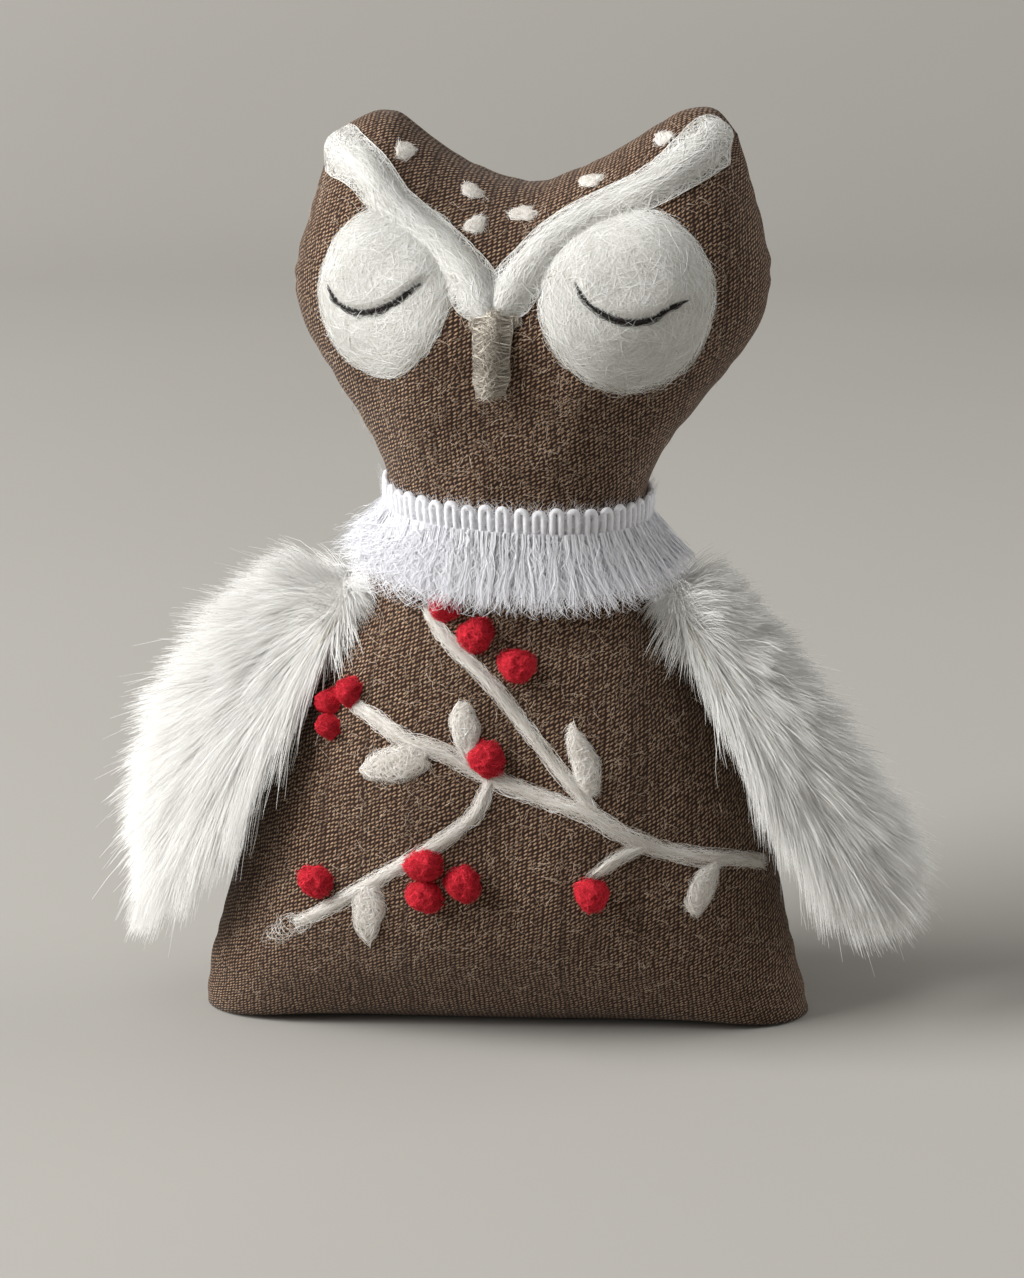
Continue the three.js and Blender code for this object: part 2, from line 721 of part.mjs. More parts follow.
const wingLevelShare = 0.487;
const wingFootShare = 0.1;
const wingGap = 3;
const wingForward = 4;
const wingLength = 102;
const wingBreadth = 42;
const peltLength = 84;
const peltBreadth = 36;
const peltThickness = 2.2;
const peltStart = 1;
const pileStart = 1.5;
const pileGap = 0.4;
const pileEdge = 1;
const leftPileThickness = 24.5;
const rightPileThickness = 26;
const pilePower = 2.4;
const pileColumns = 8;
const peltColumns = 4;

// Way down the wing, then the pile's thickness on the left and on the right, and its breadth.
const pileShares = [
  [0, 0.14, 0.1, 0.5], [0.06, 0.38, 0.26, 0.66], [0.14, 0.66, 0.42, 0.8], [0.25, 0.92, 0.58, 0.92],
  [0.4, 1, 0.72, 1], [0.55, 1, 0.86, 1], [0.7, 0.96, 0.98, 0.94], [0.82, 0.86, 1, 0.82],
  [0.92, 0.62, 0.8, 0.6], [1, 0.16, 0.24, 0.2],
];

// Way down the pelt, then its breadth.
const peltShares = [[0, 0.6], [0.15, 0.84], [0.35, 1], [0.55, 0.98], [0.75, 0.84], [0.9, 0.6], [1, 0.3]];

const shoulderThread = 0.7;
const shoulderCoil = 0.7;
const shoulderTurns = 4;
const stepsPerTurn = 6;
const shoulderBreadth = 18;
const shoulderRise = 1.5;

// The pile's column is the one of the table above, and the stand-off is how far the cloth hangs
// clear of the body's slope.
const wings = {
  left: {
    acrossShare: -1,
    standOffAngle: THREE.MathUtils.degToRad(10),
    pileThickness: leftPileThickness,
    column: 1,
  },
  right: {
    acrossShare: 1,
    standOffAngle: THREE.MathUtils.degToRad(12),
    pileThickness: rightPileThickness,
    column: 2,
  },
};

for (const [side, { acrossShare, standOffAngle, pileThickness, column }] of Object.entries(wings)) {
  const edge = cover(acrossShare, wingLevelShare, 1);
  const foot = cover(acrossShare, wingFootShare, 1);
  const hinge = new THREE.Vector3(edge.x + acrossShare * wingGap, -wingForward, edge.z);
  const tilt = Math.atan2(acrossShare * (foot.x - edge.x), edge.z - foot.z) + standOffAngle;
  const down = new THREE.Vector3(acrossShare * Math.sin(tilt), 0, -Math.cos(tilt));
  const out = new THREE.Vector3(acrossShare * Math.cos(tilt), 0, Math.sin(tilt));
  const spot = (s, v, n) => {
    const point = hinge.clone().addScaledVector(down, s).addScaledVector(out, n);
    point.y -= v;
    return point;
  };

  const pelt = (n) => peltShares.map(([way, broad]) => crowded(peltColumns)
    .map((v) => spot(peltStart + way * (peltLength - peltStart), v * broad * peltBreadth / 2, n)));
  add(`wing_${side}_pelt`, slab(pelt(0), pelt(-peltThickness)), colours.pelt);

  const pile = (raised) => pileShares.map((row) => crowded(pileColumns).map((v) => {
    const round = Math.sqrt(1 - Math.abs(v) ** pilePower);
    const dome = (row[column] * pileThickness - pileEdge) * round;
    const s = pileStart + row[0] * (wingLength - pileStart);
    return spot(s, v * row[3] * wingBreadth / 2, pileGap + raised * (pileEdge + dome));
  }));
  add(`wing_${side}_pile`, slab(pile(1), pile(0)), colours.fur);

  const middle = new THREE.Vector3(edge.x + acrossShare * wingGap / 2, -wingForward, edge.z + shoulderRise);
  const coil = evenly(stepsPerTurn * shoulderTurns).map((t) => {
    const angle = 2 * Math.PI * shoulderTurns * t;
    return middle.clone().add(new THREE.Vector3(
      shoulderCoil * Math.cos(angle), shoulderBreadth * (t - 0.5), shoulderCoil * Math.sin(angle)));
  });
  add(`wing_${side}_stitches`, thread(coil, shoulderThread, 1), colours.fur);
}

export default owl;
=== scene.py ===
# %% [markdown]
# # A sewn cloth owl
# The real toy is two panels of brown cotton twill, stuffed with fibre, with a face and a berry
# sprig of felted wool, a cotton fringe round its neck and two wings of long fur cloth. The packed
# CAD model gives the frame: this script dresses each of its soft solids in the real material.

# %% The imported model
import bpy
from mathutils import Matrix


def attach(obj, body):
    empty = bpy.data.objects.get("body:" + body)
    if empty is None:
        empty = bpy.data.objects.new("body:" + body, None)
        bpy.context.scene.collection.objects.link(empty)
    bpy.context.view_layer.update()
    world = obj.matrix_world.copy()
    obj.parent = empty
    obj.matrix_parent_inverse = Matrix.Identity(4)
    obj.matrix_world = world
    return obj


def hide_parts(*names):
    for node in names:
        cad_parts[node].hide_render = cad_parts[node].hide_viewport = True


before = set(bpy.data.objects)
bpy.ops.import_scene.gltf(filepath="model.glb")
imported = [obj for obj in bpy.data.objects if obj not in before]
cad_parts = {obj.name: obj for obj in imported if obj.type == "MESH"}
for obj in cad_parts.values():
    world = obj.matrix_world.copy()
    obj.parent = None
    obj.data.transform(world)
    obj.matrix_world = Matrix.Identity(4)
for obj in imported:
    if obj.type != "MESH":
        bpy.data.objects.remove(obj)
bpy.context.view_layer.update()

from types import SimpleNamespace
import bmesh
import bpy
import numpy as np
from mathutils import Matrix, Vector

# %% [markdown]
# ## Small helpers
# Lengths are written in millimetres and turned to metres where a mesh is made. Colours are written
# as the eye names them on a screen, in hex, and one function makes them linear for the shaders.
# Every random draw has a fixed seed, so each run makes the same toy.

# %% Units, colours and nodes
MM = 0.001
TINY = 1e-9


def linear(hex_colour):
    """The linear colour of an sRGB hex value, with full alpha."""
    shares = np.array([int(hex_colour[i:i + 2], 16) / 255 for i in (1, 3, 5)])
    low = shares / 12.92
    high = ((shares + 0.055) / 1.055) ** 2.4
    return (*np.where(shares <= 0.04045, low, high), 1.0)


def add(tree, kind, inputs=(), give=None, **settings):
    """Adds a node with its settings and fills its sockets: by order from a list, by name from a
    dictionary. A value that is a socket is linked. Gives back the output of that name, or the
    first in use."""
    made = tree.nodes.new("ShaderNode" + kind)
    for name, value in settings.items():
        setattr(made, name, value)
    live = [s for s in made.inputs if s.enabled]
    named = inputs.items() if isinstance(inputs, dict) else enumerate(inputs)
    for key, value in named:
        socket = next(s for s in live if s.name == key) if isinstance(key, str) else live[key]
        if isinstance(value, bpy.types.NodeSocket):
            tree.links.new(value, socket)
        elif value is not None:
            socket.default_value = value
    outputs = [s for s in made.outputs if s.enabled]
    return next((s for s in outputs if give in (None, s.name)), None)


def new_material(name):
    """An empty node material."""
    material = bpy.data.materials.new(name)
    material.use_nodes = True
    material.node_tree.nodes.clear()
    return material, material.node_tree


def in_scene(name, data):
    """An object of that name with this data, linked to the scene."""
    made = bpy.data.objects.new(name, data)
    bpy.context.collection.objects.link(made)
    return made


def unit(vectors):
    """The vectors at length 1."""
    return vectors / (np.linalg.norm(vectors, axis=-1, keepdims=True) + TINY)


print("middle grey as a linear colour:", linear("#808080"))

# %% [markdown]
# ## Meshes from whole arrays
# Every new piece is one or more grids of points. A slab is a closed layer between two like grids,
# and ribbons are the flat hairs of wool, cotton and fur: a real fibre is only some hundredths of a
# millimetre thick, so one ribbon stands for several of them.

# %% Grids, slabs and ribbons
# The left share of each map is for cloth, the right one for hairs, side by side by their tone.
BASE_WIDE = 0.48
HAIR_START, HAIR_WIDE, HAIR_HALF = 0.53, 0.44, 0.008


def grid_faces(rows, columns, wrap=False):
    """The four corners of each cell of a grid, and those corners as shares of the grid."""
    last = columns if wrap else columns - 1
    r, c = np.meshgrid(np.arange(rows - 1), np.arange(last), indexing="ij")
    r = r.ravel()[:, None] + [0, 0, 1, 1]
    c = c.ravel()[:, None] + [0, 1, 1, 0]
    return r * columns + c % columns, np.stack([c / last, r / (rows - 1)], axis=-1)


def solid(points, faces, uv, material):
    """A closed part on the left share of the map. Its faces are turned over where they look
    inwards, which shows in a volume under 0."""
    a, b, c, d = (points[faces[:, i]] for i in range(4))
    if np.sum(a * (np.cross(b, c) + np.cross(c, d))) < 0:
        faces, uv = faces[:, ::-1], uv[:, ::-1]
    return SimpleNamespace(points=points, faces=faces, uv=uv * [BASE_WIDE, 1], material=material)


def slab(top, bottom, material, wrap=False):
    """A closed layer: the top grid, the bottom grid turned over, and a wall of faces round the
    rim between them."""
    rows, columns = top.shape[:2]
    count = rows * columns
    faces, shares = grid_faces(rows, columns, wrap)
    index = np.arange(count).reshape(rows, columns)
    if wrap:
        loops = [np.append(index[0], index[0, 0]), np.append(index[-1], index[-1, 0])[::-1]]
    else:
        loops = [np.concatenate([index[0], index[1:, -1], index[-1, -2::-1], index[-2::-1, 0]])]
    walls = np.concatenate([np.stack([l[1:], l[:-1], l[:-1] + count, l[1:] + count], 1) for l in loops])
    place = np.stack(np.meshgrid(np.arange(columns) / columns, np.arange(rows) / rows), -1).reshape(-1, 2)
    points = np.concatenate([top.reshape(-1, 3), bottom.reshape(-1, 3)])
    every = np.concatenate([faces, faces[:, ::-1] + count, walls])
    uv = np.concatenate([shares, shares[:, ::-1], np.tile(place, (2, 1))[walls]])
    return solid(points, every, uv, material)


def ribbons(lines, width, facing, tone, material):
    """Flat hairs: each line of points gets a strip, square to the way it runs and to the side that
    it faces. Its tone is written across the map and its length along it."""
    side = unit(np.cross(np.gradient(lines, axis=1), facing))
    half = side * np.broadcast_to(width, lines.shape[:2])[..., None] / 2
    points = np.stack([lines - half, lines + half], axis=2)
    count, steps = lines.shape[:2]
    index = np.arange(points.size // 3).reshape(count, steps, 2)
    faces = np.stack([index[:, :-1, 0], index[:, :-1, 1], index[:, 1:, 1], index[:, 1:, 0]], -1)
    along = np.linspace(0, 1, steps)
    corner_v = np.stack([along[:-1], along[:-1], along[1:], along[1:]], -1)[None].repeat(count, 0)
    corner_u = (HAIR_START + HAIR_WIDE * tone[:, None, None] + HAIR_HALF * np.array([-1, 1, 1, -1])
                + 0 * corner_v)
    return SimpleNamespace(points=points.reshape(-1, 3), faces=faces.reshape(-1, 4),
                           uv=np.stack([corner_u, corner_v], -1).reshape(-1, 4, 2), material=material)


print(f"cloth maps to {BASE_WIDE:.2f} of the width, hairs from {HAIR_START:.2f} on")

# %% Pieces
def make_piece(name, parts, body, stands_for, attributes=None):
    """One object from its parts, with its map, riding on a body in place of the CAD nodes."""
    starts = np.cumsum([0] + [len(p.points) for p in parts])
    points = np.concatenate([p.points for p in parts]) * MM
    faces = np.concatenate([p.faces + s for p, s in zip(parts, starts)])
    mesh = bpy.data.meshes.new(name)
    mesh.vertices.add(len(points))
    mesh.vertices.foreach_set("co", points.astype(np.float32).ravel())
    mesh.loops.add(faces.size)
    mesh.loops.foreach_set("vertex_index", faces.astype(np.int32).ravel())
    mesh.polygons.add(len(faces))
    mesh.polygons.foreach_set("loop_start", np.arange(0, faces.size, 4, dtype=np.int32))
    materials = list(dict.fromkeys(p.material for p in parts))
    for material in materials:
        mesh.materials.append(material)
    kinds = np.concatenate([np.full(len(p.faces), materials.index(p.material)) for p in parts])
    mesh.polygons.foreach_set("material_index", kinds.astype(np.int32))
    mesh.update(calc_edges=True)
    uv = mesh.uv_layers.new(name="UVMap")
    uv.data.foreach_set("uv", np.concatenate([p.uv for p in parts]).astype(np.float32).ravel())
    for key, values in (attributes or {}).items():
        layer = mesh.attributes.new(key, "FLOAT_VECTOR", "POINT")
        layer.data.foreach_set("vector", values.astype(np.float32).ravel())
    mesh.shade_smooth()
    made = in_scene(name, mesh)
    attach(made, body)
    if stands_for:
        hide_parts(*stands_for)
    print(f"{name}: {2 * len(faces)} triangles")
    return made


# %% [markdown]
# ## Camera, floor and light
# The toy is seen from a little above and a little to its left, through a long lens, with a slight
# roll. The floor is a pale sweep of paper that curves up into the background.

# %% Camera
view_azimuth = np.radians(5.0)
view_height = np.radians(17.15)
view_roll = np.radians(0.94)
camera_place = Vector((0.071804, -0.781717, 0.347875))
lens_mm, sensor_mm = 86.5, 36

camera_data = bpy.data.cameras.new("portrait_lens")
camera_data.lens = lens_mm
camera_data.sensor_width = sensor_mm
camera = in_scene("portrait_camera", camera_data)
aim = Matrix.Rotation(view_azimuth, 4, "Z") @ Matrix.Rotation(np.pi / 2 - view_height, 4, "X")
camera.matrix_world = Matrix.Translation(camera_place) @ aim @ Matrix.Rotation(-view_roll, 4, "Z")
bpy.context.scene.camera = camera
bpy.context.scene.view_settings.view_transform = "Standard"
print("camera looks along", camera.matrix_world.to_3x3() @ Vector((0, 0, -1)))

# %% Paper sweep
sweep_wide, sweep_front, sweep_back, sweep_bend, sweep_tall = 6.0, 2.5, 1.1, 0.8, 2.6


def sweep_profile(steps=24):
    """A level floor, a quarter circle, then an upright wall: places back and up, in metres."""
    turn = np.linspace(0, np.pi / 2, steps)
    bend = sweep_back + sweep_bend * np.sin(turn)
    back = np.concatenate([[-sweep_front], bend, [sweep_back + sweep_bend]])
    up = np.concatenate([[0], sweep_bend * (1 - np.cos(turn)), [sweep_tall]])
    return back, up


back, up = sweep_profile()
across = np.array([-sweep_wide / 2, sweep_wide / 2])
sweep_points = np.stack([np.tile(across, len(back)), np.repeat(back, 2), np.repeat(up, 2)], 1)
sweep_faces, _ = grid_faces(len(back), 2)
sweep_mesh = bpy.data.meshes.new("paper_sweep")
sweep_mesh.from_pydata(sweep_points.tolist(), [], sweep_faces.tolist())
sweep_mesh.shade_smooth()
in_scene("paper_sweep", sweep_mesh)

# Matt paper has no gloss, only a faint drift of tone over some 30 centimetres.
paper, tree = new_material("matt_paper")
grain = add(tree, "TexNoise", {"Vector": add(tree, "TexCoord", give="Object"), "Scale": 3.0})
tint = add(tree, "Mix", [grain, linear("#a19e98"), linear("#a7a49e")], data_type="RGBA")
surface = add(tree, "BsdfPrincipled", {"Base Color": tint, "Roughness": 0.9})
add(tree, "OutputMaterial", {"Surface": surface})
sweep_mesh.materials.append(paper)
print(f"a sweep {sweep_wide} metres wide")

# %% Soft light
air_strength = 0.23
lamp_aim = Vector((0, 0, 0.12))
# Place in metres, watts and side of each lamp.
lamps = {
    "left_box": ((-2.15, -0.75, 1.5), 130.0, 1.6),
    "top_box": ((-0.2, -0.5, 1.9), 4.0, 1.2),
    "back_box": ((1.5, 0.3, 0.7), 9.0, 0.9),
}

world = bpy.data.worlds.new("studio_air")
world.use_nodes = True
world.node_tree.nodes["Background"].inputs["Color"].default_value = linear("#f4f2ee")
world.node_tree.nodes["Background"].inputs["Strength"].default_value = air_strength
bpy.context.scene.world = world

for name, (place, watts, size) in lamps.items():
    lamp = bpy.data.lights.new(name, "AREA")
    lamp.energy = watts
    lamp.size = size
    box = in_scene(name, lamp)
    box.location = place
    box.rotation_euler = (lamp_aim - Vector(place)).to_track_quat("-Z", "Y").to_euler()
    print(f"{name}: {watts:.0f} watts")

# %% [markdown]
# ## The cover's surface
# Front and back are cut from one outline and sewn along the sides and over the head, so one
# formula in two parameters gives both: a runs across from seam to seam and b from the base to the
# top seam. Tables give the width, the depth and the lean of each level, as shares of the sizes.

# %% The shape of the toy
height = 244.0
base_width, neck_width, head_width = 167.0, 68.0, 124.0
base_depth, belly_depth, neck_depth, head_depth = 54.0, 73.0, 54.0, 66.0
head_lean = 10.4
head_turn = np.radians(-7)
valley_depth = 16.0
base_arch = 14.0
cover_thickness = 0.9
gusset_thickness = 1.0
seam_gap = 0.3
section_power, crown_power, arch_power = 2.5, 2.3, 4
crown_start, arch_end, dip_start, turn_start, turn_end = 0.8, 0.28, 0.66, 0.55, 0.75

# Level, then shares of the way from neck to base width, neck to head width, neck to base depth,
# neck to belly depth, neck to head depth, and of the lean.
row_table = np.array([
    [0, 1, 0, 1, 0, 0, 0],
    [0.045, 0.96, 0, 0.5, 0.42, 0, -0.05],
    [0.1, 0.89, 0, 0.1, 0.79, 0, -0.03],
    [0.16, 0.82, 0, 0, 1, 0, 0.05],
    [0.25, 0.7, 0, 0, 1, 0, 0.14],
    [0.34, 0.535, 0, 0, 0.79, 0, 0.21],
    [0.42, 0.333, 0, 0, 0.53, 0, 0.29],
    [0.5, 0.11, 0, 0, 0.21, 0, 0.41],
    [0.56, 0, 0, 0, 0, 0, 0.5],
    [0.61, 0, 0, 0, 0, 0, 0.58],
    [0.66, 0, 0.18, 0, 0, 0.25, 0.67],
    [0.72, 0, 0.535, 0, 0, 0.67, 0.79],
    [0.79, 0, 0.91, 0, 0, 1, 0.9],
    [0.85, 0, 1, 0, 0, 1, 0.94],
    [0.91, 0, 0.89, 0, 0, 0.83, 0.98],
    [0.96, 0, 0.77, 0, 0, 0.5, 1],
    [1, 0, 0.68, 0, 0, 0.17, 1],
])

# Place across, then how far the top line lies over the height, as a share of the valley's depth.
top_table = np.array([
    [-1, -0.375], [-0.86, -0.03], [-0.68, 0.11], [-0.5, -0.31], [-0.3, -0.72], [0, -1],
    [0.2, -0.81], [0.4, -0.5], [0.6, -0.09], [0.76, 0.19], [0.9, 0.17], [1, -0.19],
])


# %% Curves through tables
def through(table, column, place):
    """The smooth curve through a table whose first column holds the places: each stretch is the
    cubic that meets both values with the slope of the chord between their neighbours."""
    places, values = table[:, 0], table[:, column]
    last = len(places) - 1
    before = np.maximum(np.arange(last + 1) - 1, 0)
    after = np.minimum(np.arange(last + 1) + 1, last)
    slope = (values[after] - values[before]) / (places[after] - places[before])
    i = np.clip(np.searchsorted(places, place, side="right") - 1, 0, last - 1)
    span = places[i + 1] - places[i]
    t = (place - places[i]) / span
    rise = values[i + 1] - values[i]
    start, end = span * slope[i], span * slope[i + 1]
    return values[i] + t * start + t * t * (3 * rise - 2 * start - end) + t ** 3 * (start + end - 2 * rise)


def smooth(t):
    """Goes from 0 to 1 with a level start and end."""
    held = np.clip(t, 0, 1)
    return held * held * (3 - 2 * held)


def cover(a, b, side, swell=0.0):
    """A point of the cover. Its outline comes from the tables, its section is a rounded lens, the
    top closes like a dome, and swell moves the surface outwards. The head is turned and leans to
    one side."""
    a, b, side, swell = (np.asarray(value, float) for value in np.broadcast_arrays(a, b, side, swell))
    shares = [through(row_table, column, b) for column in range(1, 7)]
    half_width = (neck_width + shares[0] * (base_width - neck_width)
                  + shares[1] * (head_width - neck_width)) / 2
    half_depth = (neck_depth + shares[2] * (base_depth - neck_depth)
                  + shares[3] * (belly_depth - neck_depth) + shares[4] * (head_depth - neck_depth)) / 2
    crown = np.maximum(0, (b - crown_start) / (1 - crown_start))
    section = np.sqrt(np.maximum(0, 1 - np.abs(a) ** section_power))
    closing = np.sqrt(np.maximum(0, 1 - crown ** crown_power))
    x = a * (half_width + swell)
    y = side * (half_depth + swell) * section * closing
    rim = gusset_thickness + seam_gap
    arch = base_arch * (1 - np.abs(a) ** arch_power) ** 2 * np.maximum(0, 1 - b / arch_end) ** 2
    top = valley_depth * through(top_table, 1, a) * smooth((b - dip_start) / (1 - dip_start))
    z = rim + (height - rim) * b + arch + top + swell * crown * crown
    turn = head_turn * smooth((b - turn_start) / (turn_end - turn_start))
    return np.stack([head_lean * shares[5] + x * np.cos(turn) - y * np.sin(turn),
                     x * np.sin(turn) + y * np.cos(turn), z], -1)


print("top of the left ear:", cover(-0.68, 1.0, -1))

# %% [markdown]
# ## Filling the cover
# A stuffed cover isn't smooth: the bag is cut a little larger than its filling holds out and its
# seams draw up, so the cloth buckles into long shallow dents, most of them at the neck. Blender's
# Cloth finds them here. Both panels are sewn into one ring mesh with pressure inside, and every
# point is held softly to its place, as by firm filling. Only the dents are kept, faded out towards
# the seams, where the outline is known.

# %% Stuffed bag
half_ring, bag_levels, bag_frames = 44, 80, 20
bag_ease, seam_draw, bag_pressure, bag_hold, bag_bending = -0.03, 0.07, 4.0, 0.25, 20.0
bag_foot, side_draw_reach, top_draw_reach = 0.02, 0.05, 0.015
dent_share, dent_cap, fine_steps = 0.4, 1.2, 8
lump_height = 0.4
foot_fade, top_fade_start, top_fade = 0.12, 0.93, 0.07


def lumps(a, b, side):
    """Low uneven rises of the filling under the cloth."""
    return lump_height * (np.sin(5.1 * a + 9.7 * b + side) * np.cos(3.2 * a - 7.9 * b + 2 * side)
                          + 0.6 * np.sin(8.3 * a - 14.1 * b + 3.7 * side))


def inner_share(a, b):
    """1 in the middle of a panel, 0 on its seams."""
    return (1 - np.abs(a) ** 4) * smooth(b / foot_fade) * (1 - smooth((b - top_fade_start) / top_fade))


def stuffed_bag():
    """Sews both panels into a bag, lets Cloth settle it, and gives back how far each point moved
    outwards, in millimetres: one row a level, one column a place round the bag."""
    ring = 2 * half_ring
    spot = np.arange(ring)
    a, side = -np.cos(np.pi * spot / half_ring), np.where(spot <= half_ring, -1.0, 1.0)
    level = np.linspace(0, 1, bag_levels)[:, None]
    start = cover(a, level, side, lumps(a, level, side) * inner_share(a, level))
    index = np.arange(ring * bag_levels).reshape(bag_levels, ring)
    index[-1, half_ring + 1:] = index[-1, half_ring - 1:0:-1]
    faces = index.ravel()[grid_faces(bag_levels, ring, wrap=True)[0]]
    under = np.stack([np.roll(index[0], -1), index[0], np.full(ring, start.size // 3)], -1)
    points = np.concatenate([start.reshape(-1, 3), [[0, 0, base_arch / 5]]])
    mesh = bpy.data.meshes.new("stuffed_bag")
    mesh.from_pydata((points * MM).tolist(), [], faces.tolist() + under.tolist())
    bag = in_scene("stuffed_bag", mesh)
    at_seam = np.exp(-((1 - np.abs(a)) / side_draw_reach) ** 2) * (level > bag_foot)
    at_seam = np.round(np.maximum(at_seam, np.exp(-((1 - level) / top_draw_reach) ** 2)), 1).ravel()
    drawn, held = bag.vertex_groups.new(name="drawn"), bag.vertex_groups.new(name="held")
    for weight in np.unique(at_seam):
        drawn.add(np.nonzero(at_seam == weight)[0].tolist(), weight, "REPLACE")
    held.add(list(range(len(points))), bag_hold, "REPLACE")
    rules = bag.modifiers.new("stuffing", "CLOTH").settings
    rules.effector_weights.gravity = 0
    wanted = dict(use_pressure=True, uniform_pressure_force=bag_pressure, vertex_group_shrink="drawn",
                  shrink_min=bag_ease, shrink_max=seam_draw, vertex_group_mass="held", pin_stiffness=1.0,
                  bending_model="LINEAR", bending_stiffness=bag_bending)
    for rule, value in wanted.items():
        setattr(rules, rule, value)
    for frame_number in range(1, bag_frames + 1):
        bpy.context.scene.frame_set(frame_number)
    settled = bag.evaluated_get(bpy.context.evaluated_depsgraph_get()).data
    got = np.empty(points.size, np.float32)
    settled.vertices.foreach_get("co", got)
    moved = got.reshape(-1, 3)[:-1].reshape(start.shape) / MM - start
    bpy.data.objects.remove(bag)
    bpy.data.meshes.remove(mesh)
    bpy.context.scene.frame_set(1)
    out = np.cross(np.roll(start, -1, axis=1) - np.roll(start, 1, axis=1), np.gradient(start, axis=0))
    return np.sum(moved * unit(out), -1)


bag_moves = stuffed_bag()
print(f"cloth moved {bag_moves.min():.1f} to {bag_moves.max():.1f} mm")

# %% Dents
def spline_shares(count, closed):
    """How much each coarse value counts at each finer place, by the cubic B-spline, a smooth hump
    four steps wide."""
    places = np.arange(count * fine_steps if closed else (count - 1) * fine_steps + 1) / fine_steps
    off = np.abs(places[:, None] - np.arange(count))
    off = np.minimum(off, count - off) if closed else off
    shares = np.where(off < 1, 2 / 3 - off ** 2 + off ** 3 / 2, np.maximum(0, 2 - off) ** 3 / 6)
    return shares / shares.sum(1, keepdims=True)


bag_dents = dent_cap * np.tanh(dent_share * bag_moves / dent_cap)
fine_dents = spline_shares(bag_levels, False) @ bag_dents @ spline_shares(2 * half_ring, True).T
fine_dents = np.concatenate([fine_dents, fine_dents[:, :1]], axis=1)
print(f"dents kept {fine_dents.min():.2f} to {fine_dents.max():.2f} mm")


def dents(a, b, side):
    """The dent at any place, read from the four nearest values of the fine table."""
    over = np.arccos(np.clip(-np.asarray(a), -1, 1)) / np.pi * half_ring
    over = np.where(np.asarray(side) < 0, over, 2 * half_ring - over) * fine_steps
    rise = np.clip(b, 0, 1) * (bag_levels - 1) * fine_steps
    column = np.minimum(over.astype(int), fine_dents.shape[1] - 2)
    row = np.minimum(rise.astype(int), fine_dents.shape[0] - 2)
    right, up = over - column, rise - row
    low = fine_dents[row, column] * (1 - right) + fine_dents[row, column + 1] * right
    high = fine_dents[row + 1, column] * (1 - right) + fine_dents[row + 1, column + 1] * right
    return low * (1 - up) + high * up


# %% [markdown]
# The stitches of the side and top seams also draw the cloth into short puckers that die out a
# finger's width away. They are waves along the seam. On the seams themselves front and back share
# one value, so the two panels still meet.

# %% Puckers and rolled edge
pucker_height, pucker_pitch, pucker_reach = 0.28, 8.5, 0.13
top_pucker_height, top_pucker_reach = 0.12, 0.03
tuck_reach, tuck_inset, tuck_drop = 0.05, 7.5, 8.5
foot_reach, foot_drop, gusset_inset = 0.02, 1.0, -1.3


def relief(a, b, side):
    """How far the cloth stands off the plain form, in millimetres: lumps and dents away from the
    seams plus short waves along the side seams and the top seam."""
    up_seam = b * height / pucker_pitch * 2 * np.pi
    ripple = np.sin(up_seam + 1.3 * np.sin(up_seam * 0.37) + 2 * np.sign(a))
    ripple = ripple * (0.6 + 0.4 * np.sin(up_seam * 0.21))
    near_side = np.exp(-((1 - np.abs(a)) / pucker_reach) ** 2)
    over_top = a * head_width / 2 / pucker_pitch * 2 * np.pi
    near_top = np.exp(-((1 - b) / top_pucker_reach) ** 2) * (1 - near_side)
    filled = (lumps(a, b, side) + dents(a, b, side)) * inner_share(a, b)
    top_puckers = top_pucker_height * np.sin(over_top + np.sin(over_top * 0.43)) * near_top
    return filled + pucker_height * ripple * near_side + top_puckers


def cloth(a, b, side, swell=0.0):
    """The stuffed cloth: the cover with its relief, half a seam gap off the side seam, and its
    lowest edge rolled in and down between the corners, where the filling presses it under."""
    tuck = np.maximum(0, 1 - np.asarray(b) / tuck_reach) ** 2 * (1 - np.abs(a) ** arch_power) ** 2
    point = cover(a, b, side, swell + relief(a, b, side) - tuck_inset * tuck)
    point[..., 1] += np.asarray(side) * seam_gap / 2
    point[..., 2] -= tuck_drop * tuck + foot_drop * np.maximum(0, 1 - np.asarray(b) / foot_reach)
    return point


# %% [markdown]
# ## Brown cotton twill
# The cover is a loosely spun cotton furniture twill: pale floats about a millimetre long lie over a
# dark ground, one step higher in each column of warp, so the eye sees rows of small slanted dashes.
# They are drawn as cells of a sheared lattice, measured along the cloth itself and not in space, so
# that the weave follows the panel as it does on the real toy. Cotton has no gloss, only a faint
# bloom.

# %% Twill material
# The pitch of the columns, the pitch of the floats along a column, and how much higher each column
# starts than the one before. Then half the length and width of a float, and its lean.
column_pitch, float_pitch, column_step = 1.2, 1.1, 0.5
float_long, float_wide, float_lean = 0.58, 0.24, np.radians(43)


